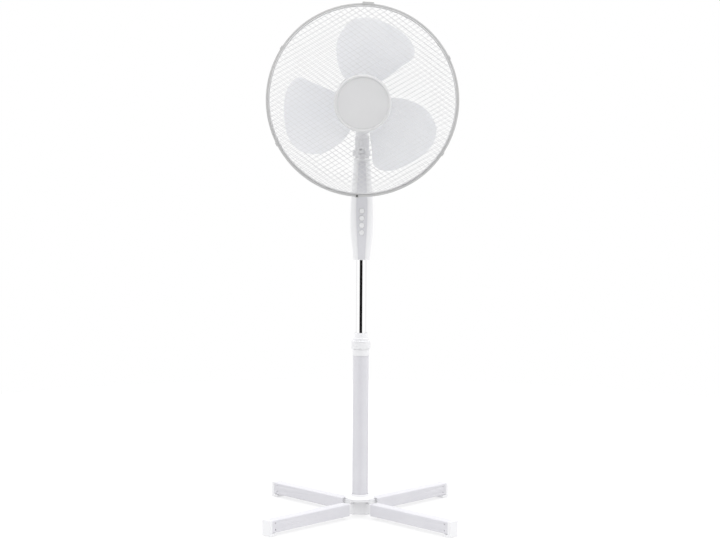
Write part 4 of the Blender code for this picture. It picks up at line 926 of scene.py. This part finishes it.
def makeRearCover():
    form = (
        (1.0, 0.0), (1.0, 0.30), (0.998, 0.56), (0.985, 0.66), (0.955, 0.75), (0.89, 0.845),
        (0.80, 0.905), (0.68, 0.95), (0.54, 0.978), (0.36, 0.994), (0.18, 1.0),
    )
    radius, wall, back = motor["radius"], motor["wall"], motor["back"]
    outside = [(radius * across, -back * deep - clearance) for across, deep in form]
    inside = [(max(r - wall, 0), z + wall) for r, z in outside[1:]]
    rim = (radius - wall, -clearance)
    outline = [(0, -back), *outside[::-1], rim, *inside, (0, -back + wall)]
    piece = spinPiece("motorRear", outline, steps=144)
    cutBox(piece, (-motor["openHalf"], -0.07, -0.065), (motor["openHalf"], -0.030, 0.01), 0.002)
    knobAt = moved(motor["knobX"], 0, -motor["gearLine"]) @ turned(-90, "X")
    cutRod(piece, motor["knobHole"], 0.028, 0.10, knobAt, 64)
    # two rings of radial slots in the rounded back, and a row of them round the side
    for index in range(motor["backSlots"]):
        turn = Matrix.Rotation(math.tau * index / motor["backSlots"], 4, "Z")
        cutBox(piece, (0.0165, -0.0013, -0.10), (0.0300, 0.0013, -0.068), 0.0009, turn)
        cutBox(piece, (0.0335, -0.0017, -0.10), (0.0465, 0.0017, -0.060), 0.0012, turn)
    for index in range(motor["sideSlots"]):
        degrees = -60 + 300 * index / (motor["sideSlots"] - 1)
        if abs(degrees - 90) > 24:
            turn = turned(degrees)
            cutBox(piece, (0.045, -0.0016, -0.046), (0.065, 0.0016, -0.012), 0.0012, turn)
    settle(piece, headPlace)
    dress(piece, "whitePlastic", "head", "white_plastic", "motor_rear_cover")


def makeKnob():
    knob = {"radius": 0.0085, "low": 0.055, "height": 0.020, "ribs": 20}
    radius, low, top = knob["radius"], knob["low"], knob["low"] + knob["height"]
    outline = [
        (0.0033, low + 0.006), (0.0033, low), (radius - 0.001, low), (radius - 0.001, low + 0.008),
        (radius, low + 0.010), (radius, low + 0.012), (radius, top - 0.004), (radius, top - 0.002),
        (radius - 0.0018, top), (0, top), (0, low + 0.0133), (0.0033, low + 0.0133),
        (0.0033, low + 0.006),
    ]
    piece = spinPiece("swingKnob", softened(outline, 0.0008), steps=160, sharp=50)
    ribbed(piece, knob["ribs"], 0.0006, low + 0.0105, top - 0.0022, radius - 0.0004)
    at = moved(motor["knobX"], 0, -motor["gearLine"]) @ turned(-90, "X")
    settle(piece, headPlace @ at, 50)
    dress(piece, "whitePlastic", "clutch", "white_plastic", "swing_knob")


makeFrontCover()
makeRearCover()
makeKnob()
print("motor covers are made")


guard = {
    "radius": 0.220, "ringPlane": 0.081, "bandWide": 0.0050, "bandDeep": 0.012, "frontDeep": 0.060,
    "power": 3.0, "hub": 0.060, "plateLow": 0.0263, "plateThick": 0.0022,
    "wires": 44, "wire": 0.00043, "angles": (30.0, -36.6), "ring": 0.0013, "nutRibs": 36,
    "firstClip": 87,
}
wireRing = (guard["radius"] - guard["bandWide"]) * math.cos(math.pi / 40) - guard["ring"] - clearance


def domeHeight(radius, deep):
    share = min(radius / (wireRing + guard["ring"]), 1.0)
    return deep * math.sqrt(max(1 - share ** guard["power"], 0.0))


rearRoom = guard["ringPlane"] - guard["ring"] - clearance - guard["plateLow"] - guard["plateThick"] / 2
rearDeep = rearRoom / domeHeight(guard["hub"], 1.0)


def wireSet(name, degrees, facing, deep, hub, layer):
    # a grid with only its lengthwise edges left; each row becomes one round wire
    count, steps = guard["wires"], 28
    pick()
    bpy.ops.mesh.primitive_grid_add(x_subdivisions=steps, y_subdivisions=count - 1, size=2)
    piece = called(name)
    mode("EDIT")
    bpy.ops.mesh.select_all(action="DESELECT")
    bpy.ops.mesh.select_mode(type="EDGE")
    shape = bmesh.from_edit_mesh(piece.data)
    rowGap = 2 * wireRing / count
    for edge in shape.edges:
        a, b = edge.verts[0].co, edge.verts[1].co
        edge.select = abs(a.y - b.y) > 0.001
    bmesh.update_edit_mesh(piece.data)
    bpy.ops.mesh.delete(type="EDGE_FACE")
    turn = Matrix.Rotation(math.radians(degrees), 3, "Z")
    shape = bmesh.from_edit_mesh(piece.data)
    middleEdges = []  # where a wire of the rear guard would cross the motor
    for edge in shape.edges:
        columns = sorted(round((vert.co.x + 1) / 2 * steps) for vert in edge.verts)
        row = round((edge.verts[0].co.y + 1) / 2 * (count - 1))
        if abs((row + 0.5) * rowGap - wireRing) < hub and columns == [steps // 2 - 1, steps // 2]:
            middleEdges.append(edge)
    for vert in shape.verts:
        row = round((vert.co.y + 1) / 2 * (count - 1))
        column = round((vert.co.x + 1) / 2 * steps)
        offset = (row + 0.5) * rowGap - wireRing
        reach = math.sqrt(max(wireRing ** 2 - offset ** 2, 0.0))
        if abs(offset) < hub:
            gapHalf = math.sqrt(hub ** 2 - offset ** 2)
            half = steps // 2
            if column < half:
                along = -reach + (reach - gapHalf) * column / (half - 1)
            else:
                along = gapHalf + (reach - gapHalf) * (column - half) / half
        else:
            along = -reach + 2 * reach * column / steps
        flat = turn @ Vector((along, offset, 0))
        height = facing * (domeHeight(flat.length, deep) + guard["ring"] + clearance + layer)
        vert.co = (flat.x, flat.y, guard["ringPlane"] + height)
    bmesh.ops.delete(shape, geom=middleEdges, context="EDGES")
    bmesh.update_edit_mesh(piece.data)
    mode("OBJECT")
    bpy.ops.object.convert(target="CURVE")
    piece = bpy.context.object
    piece.data.bevel_depth = guard["wire"]
    piece.data.bevel_resolution = 1
    piece.data.use_fill_caps = True
    bpy.ops.object.convert(target="MESH")
    return bpy.context.object


def joined(first, *others):
    pick(first, *others)
    bpy.ops.object.join()
    return bpy.context.object


def torus(name, around, wire, height):
    pick()
    bpy.ops.mesh.primitive_torus_add(
        major_segments=192, minor_segments=10, major_radius=around, minor_radius=wire,
        location=(0, 0, height),
    )
    return called(name)


def makeWires():
    thick = guard["wire"]
    first, second = guard["angles"]
    ringHeight = guard["ring"] + clearance
    upper = wireSet("frontWires", first, 1, guard["frontDeep"], 0.0, -thick)
    lower = wireSet("frontWiresCross", second, 1, guard["frontDeep"], 0.0, thick)
    rim = torus("frontRing", wireRing, guard["ring"], guard["ringPlane"] + ringHeight)
    boss = torus(
        "frontHubRing", guard["hub"] - 0.002, guard["ring"],
        guard["ringPlane"] + ringHeight + domeHeight(guard["hub"], guard["frontDeep"]),
    )
    front = joined(upper, lower, rim, boss)
    front.name = "frontMesh"
    settle(front, headPlace, 60, False)
    dress(front, "wireCoating", "head", "guard_coating", "front_guard")
    upper = wireSet("rearWires", first, -1, rearDeep, guard["hub"] - 0.001, -thick)
    lower = wireSet("rearWiresCross", second, -1, rearDeep, guard["hub"] - 0.001, thick)
    rim = torus("rearRing", wireRing, guard["ring"], guard["ringPlane"] - ringHeight)
    low, high = guard["plateLow"], guard["plateLow"] + guard["plateThick"]
    boss = motor["boss"] + clearance
    outline = [
        (boss, (low + high) / 2), (boss, high), (0.040, high), (0.042, high + 0.0008),
        (0.050, high + 0.0008), (0.052, high), (guard["hub"] + 0.001, high),
        (guard["hub"] + 0.001, low), (boss, low), (boss, (low + high) / 2),
    ]
    plate = spinPiece("rearPlate", softened(outline, 0.0006), steps=128)
    rear = joined(upper, lower, rim, plate)
    rear.name = "rearMesh"
    settle(rear, headPlace, 60, False)
    dress(rear, "wireCoating", "head", "guard_coating", "rear_guard")
    low = high + guard["ring"] + clearance - guard["plateThick"] / 2 + 0.0011
    inner = motor["boss"] + 0.0008
    outline = [
        (inner, low + 0.004), (inner, low + 0.0095), (0.0270, low + 0.0095), (0.0270, low + 0.005),
        (0.0340, low + 0.003), (0.0340, low), (inner, low), (inner, low + 0.004),
    ]
    nut = spinPiece("guardNut", softened(outline, 0.0007), steps=216, sharp=50)
    ribbed(nut, guard["nutRibs"], 0.0006, low + 0.0002, low + 0.0028, 0.0336)
    settle(nut, headPlace, 50)
    dress(nut, "whitePlastic", "head", "white_plastic", "guard_nut")


def clipTurn(index):
    return turned(guard["firstClip"] + 60 * index)


def makeRim():
    rim = {"lug": 0.009, "proud": 0.0014, "axial": 0.0012}
    half, middle = guard["bandDeep"] / 2, guard["ringPlane"]
    outer, inner = guard["radius"], guard["radius"] - guard["bandWide"]
    outline = [
        (inner, middle), (inner, middle + half), (outer - 0.0012, middle + half),
        (outer, middle + half - 0.0012), (outer, middle + 0.0006), (outer - 0.0005, middle),
        (outer, middle - 0.0006), (outer, middle - half + 0.0012), (outer - 0.0012, middle - half),
        (inner, middle - half), (inner, middle),
    ]
    piece = spinPiece("rimBand", softened(outline, 0.0005, 2), steps=192)
    for index in range(1, 6):
        low = (inner + 0.0008, -rim["lug"] / 2, middle - half - rim["axial"])
        high = (outer + rim["proud"], rim["lug"] / 2, middle + half + rim["axial"])
        addBox(piece, low, high, 0.0006, clipTurn(index))
        # finger slot across the outside of each lug
        cutBox(
            piece, (outer + rim["proud"] - 0.0009, -0.006, middle - 0.0011),
            (outer + 0.01, 0.006, middle + 0.0011), 0, clipTurn(index),
        )
    screwPlace = clipTurn(3) @ moved(outer - guard["bandWide"] / 2, 0, 0)
    cutRod(piece, 0.0015, middle, middle + 0.03, screwPlace, 24)
    settle(piece, headPlace)
    dress(piece, "greyPlastic", "head", "grey_plastic", "guard_rim")
    seat = middle + half + rim["axial"] + clearance
    outline = [
        (0, seat + 0.0013), (0.0013, seat + 0.0012), (0.0022, seat + 0.0007), (0.0024, seat),
        (0.0012, seat), (0.0012, seat - 0.008), (0, seat - 0.008),
    ]
    screw = spinPiece("rimScrew", softened(outline, 0.0004), None, 32)
    for turn in (20, 110):
        cutBox(
            screw, (-0.0012, -0.00022, seat + 0.0005), (0.0012, 0.00022, seat + 0.002), 0, turned(turn),
        )
    settle(screw, headPlace @ screwPlace)
    dress(screw, "darkPlastic", "head", "dark_plastic", "rim_screw")


def makeTopClip():
    clip = {"wide": 0.026, "proud": 0.0032, "hook": 0.0018, "in": 0.0030}
    half, outer, middle = guard["bandDeep"] / 2 + clearance, guard["radius"], guard["ringPlane"]
    low = (outer - clip["in"], -clip["wide"] / 2, middle - half - clip["hook"])
    high = (outer + clip["proud"], clip["wide"] / 2, middle + half + clip["hook"])
    piece = boxPiece("topClip", low, high, 0.0012, None, 4)
    bite = spinPiece(
        "bite", ringOutline(0.190, outer + clearance, middle - half, middle + half), steps=256,
    )
    cutAway(piece, bite)
    # grip nicks across the back of the hook
    for across in (-0.008, -0.004, 0, 0.004, 0.008):
        cutBox(
            piece, (outer + clip["proud"] - 0.0006, across - 0.0008, middle - 0.005),
            (outer + 0.02, across + 0.0008, middle + 0.005), 0.0003,
        )
    settle(piece, headPlace @ clipTurn(0))
    dress(piece, "greyPlastic", "head", "grey_plastic", "top_clip")


def makeBadge():
    badge = {"radius": 0.0645, "thick": 0.007, "disc": 0.0575}
    low = guard["ringPlane"] + guard["frontDeep"] + 0.0039 + 0.0006
    top, disc, radius = low + badge["thick"], badge["disc"], badge["radius"]
    outline = [
        (0, top - 0.0010), (disc * 0.5, top - 0.0013), (disc - 0.002, top - 0.0020),
        (disc, top - 0.0027), (disc + 0.0008, top - 0.0026), (disc + 0.0014, top - 0.0008),
        (disc + 0.0030, top), (radius - 0.0018, top - 0.0006), (radius - 0.0004, top - 0.0024),
        (radius, top - 0.0045), (radius, low), (radius - 0.0016, low), (radius - 0.0022, top - 0.0045),
        (0, top - 0.0045),
    ]
    piece = spinPiece("badgeDisc", softened(outline, 0.0007), headPlace, 160, 30)
    dress(piece, "badgePlastic", "head", "badge_plastic", "badge")


makeWires()
makeRim()
makeTopClip()
makeBadge()
print("guards are made")


blade = {
    "middle": 0.078, "reach": 0.18804, "rootDeep": 0.044, "tipDeep": 0.032, "thick": 0.0020,
    "hub": 0.036, "hubLong": 0.046, "turn": 77, "sink": 0.004, "count": 3, "nutRibs": 18,
    "leading": ((0.40, -34), (0.62, -36), (0.80, -37), (0.885, -32)),
    "trailing": ((0.40, 50), (0.62, 43), (0.80, 35), (0.950, 24)),
    "rootAngles": (-27, 50),
    "tip": ((-32, 0.885), (-25, 0.925), (-8, 0.965), (8, 1.0), (17, 0.990), (24, 0.950)),
}


def bladePoint(u, v):
    root = (blade["hub"] - blade["sink"]) / blade["reach"]
    leading = ((root, blade["rootAngles"][0]), *blade["leading"])
    trailing = ((root, blade["rootAngles"][1]), *blade["trailing"])
    leadEnd, trailEnd = leading[-1][0], trailing[-1][0]
    leadShare = root + (leadEnd - root) * u
    trailShare = root + (trailEnd - root) * u
    tipDegrees = blade["tip"][0][0] * (1 - v) + blade["tip"][-1][0] * v
    angle = math.radians(eased(leading, leadShare)[0] * (1 - v) + eased(trailing, trailShare)[0] * v)
    chord = leadShare * (1 - v) + trailShare * v
    tipChord = leadEnd * (1 - v) + trailEnd * v
    radius = (chord + (eased(blade["tip"], tipDegrees)[0] - tipChord) * u ** 2) * blade["reach"]
    deep = blade["rootDeep"] + (blade["tipDeep"] - blade["rootDeep"]) * u
    height = blade["middle"] + deep * (v - 0.5 - 0.10 * math.sin(math.pi * v))
    return Vector((radius * math.cos(angle), radius * math.sin(angle), height))


def makeBlades():
    steps = 44
    hubFront = blade["middle"] + blade["hubLong"] / 2
    hubBack = hubFront - blade["hubLong"] - 0.002
    outer, wall = blade["hub"], 0.0025
    outline = [
        (0.0043, hubFront - 0.005), (0.0043, hubFront), (outer - 0.010, hubFront),
        (outer - 0.004, hubFront - 0.002), (outer - 0.0008, hubFront - 0.007),
        (outer, hubFront - 0.013), (outer, hubBack),
        (outer - wall, hubBack), (outer - wall, hubFront - 0.010), (0.0144, hubFront - 0.006),
        (0.0144, 0.0500), (0.0043, 0.0500), (0.0043, hubFront - 0.005),
    ]
    hub = spinPiece("bladeHub", softened(outline, 0.0008), steps=120)

    def point(column, row):
        return bladePoint(column / steps, row / steps)

    first = sheetPiece("blade", steps, steps, point, blade["thick"], 0.0)
    bevelled(first, 0.0006, 2, 60)
    settle(first, sharp=50)
    for index in range(blade["count"]):
        turn = turned(blade["turn"] + 360 / blade["count"] * index)
        added(hub, copied(first, "bladeCopy", turn))
    bpy.data.objects.remove(first)
    settle(hub, headPlace)
    dress(hub, "bladePlastic", "rotor", "blade_plastic", "fan_blade")
    low = hubFront + clearance
    outline = [
        (0.0043, low + 0.005), (0.0043, low), (0.0150, low), (0.0150, low + 0.001),
        (0.0150, low + 0.006), (0.0148, low + 0.0072), (0.0105, low + 0.017), (0.0090, low + 0.018),
        (0, low + 0.018), (0, low + 0.0125), (0.0043, low + 0.0125), (0.0043, low + 0.005),
    ]
    nut = spinPiece("bladeNut", softened(outline, 0.0007), steps=144, sharp=50)
    ribbed(nut, blade["nutRibs"], 0.0009, low + 0.0005, low + 0.0070, 0.0146)
    settle(nut, headPlace, 50)
    dress(nut, "whitePlastic", "rotor", "white_plastic", "blade_nut")


makeBlades()
print("blades are made")


# the CAD nodes that stay in the picture keep their shape and get a finish
kept = {
    "steel": (
        "base_bolt", "leg_bolt_rear_right", "leg_bolt_rear_left", "leg_bolt_front_left",
        "leg_bolt_front_right", "swing_stem", "clutch_shaft", "swing_link", "motor_shaft",
    ),
    "laminations": ("stator_core", "rotor_core"),
    "copper": ("winding_front", "winding_rear"),
    "bronze": ("bush_front", "bush_rear"),
    "castAlloy": ("motor_bracket", "gear_case", "gear_case_lid"),
    "nylon": ("worm_wheel", "crank_gear"),
    "darkPlastic": ("switch_block",),
    "whitePlastic": ("tube_socket",),
}
for finishName, names in kept.items():
    for name in names:
        cadNodes[name].data.materials.clear()
        cadNodes[name].data.materials.append(finish(finishName))
print("finishes are on the carried-over nodes")
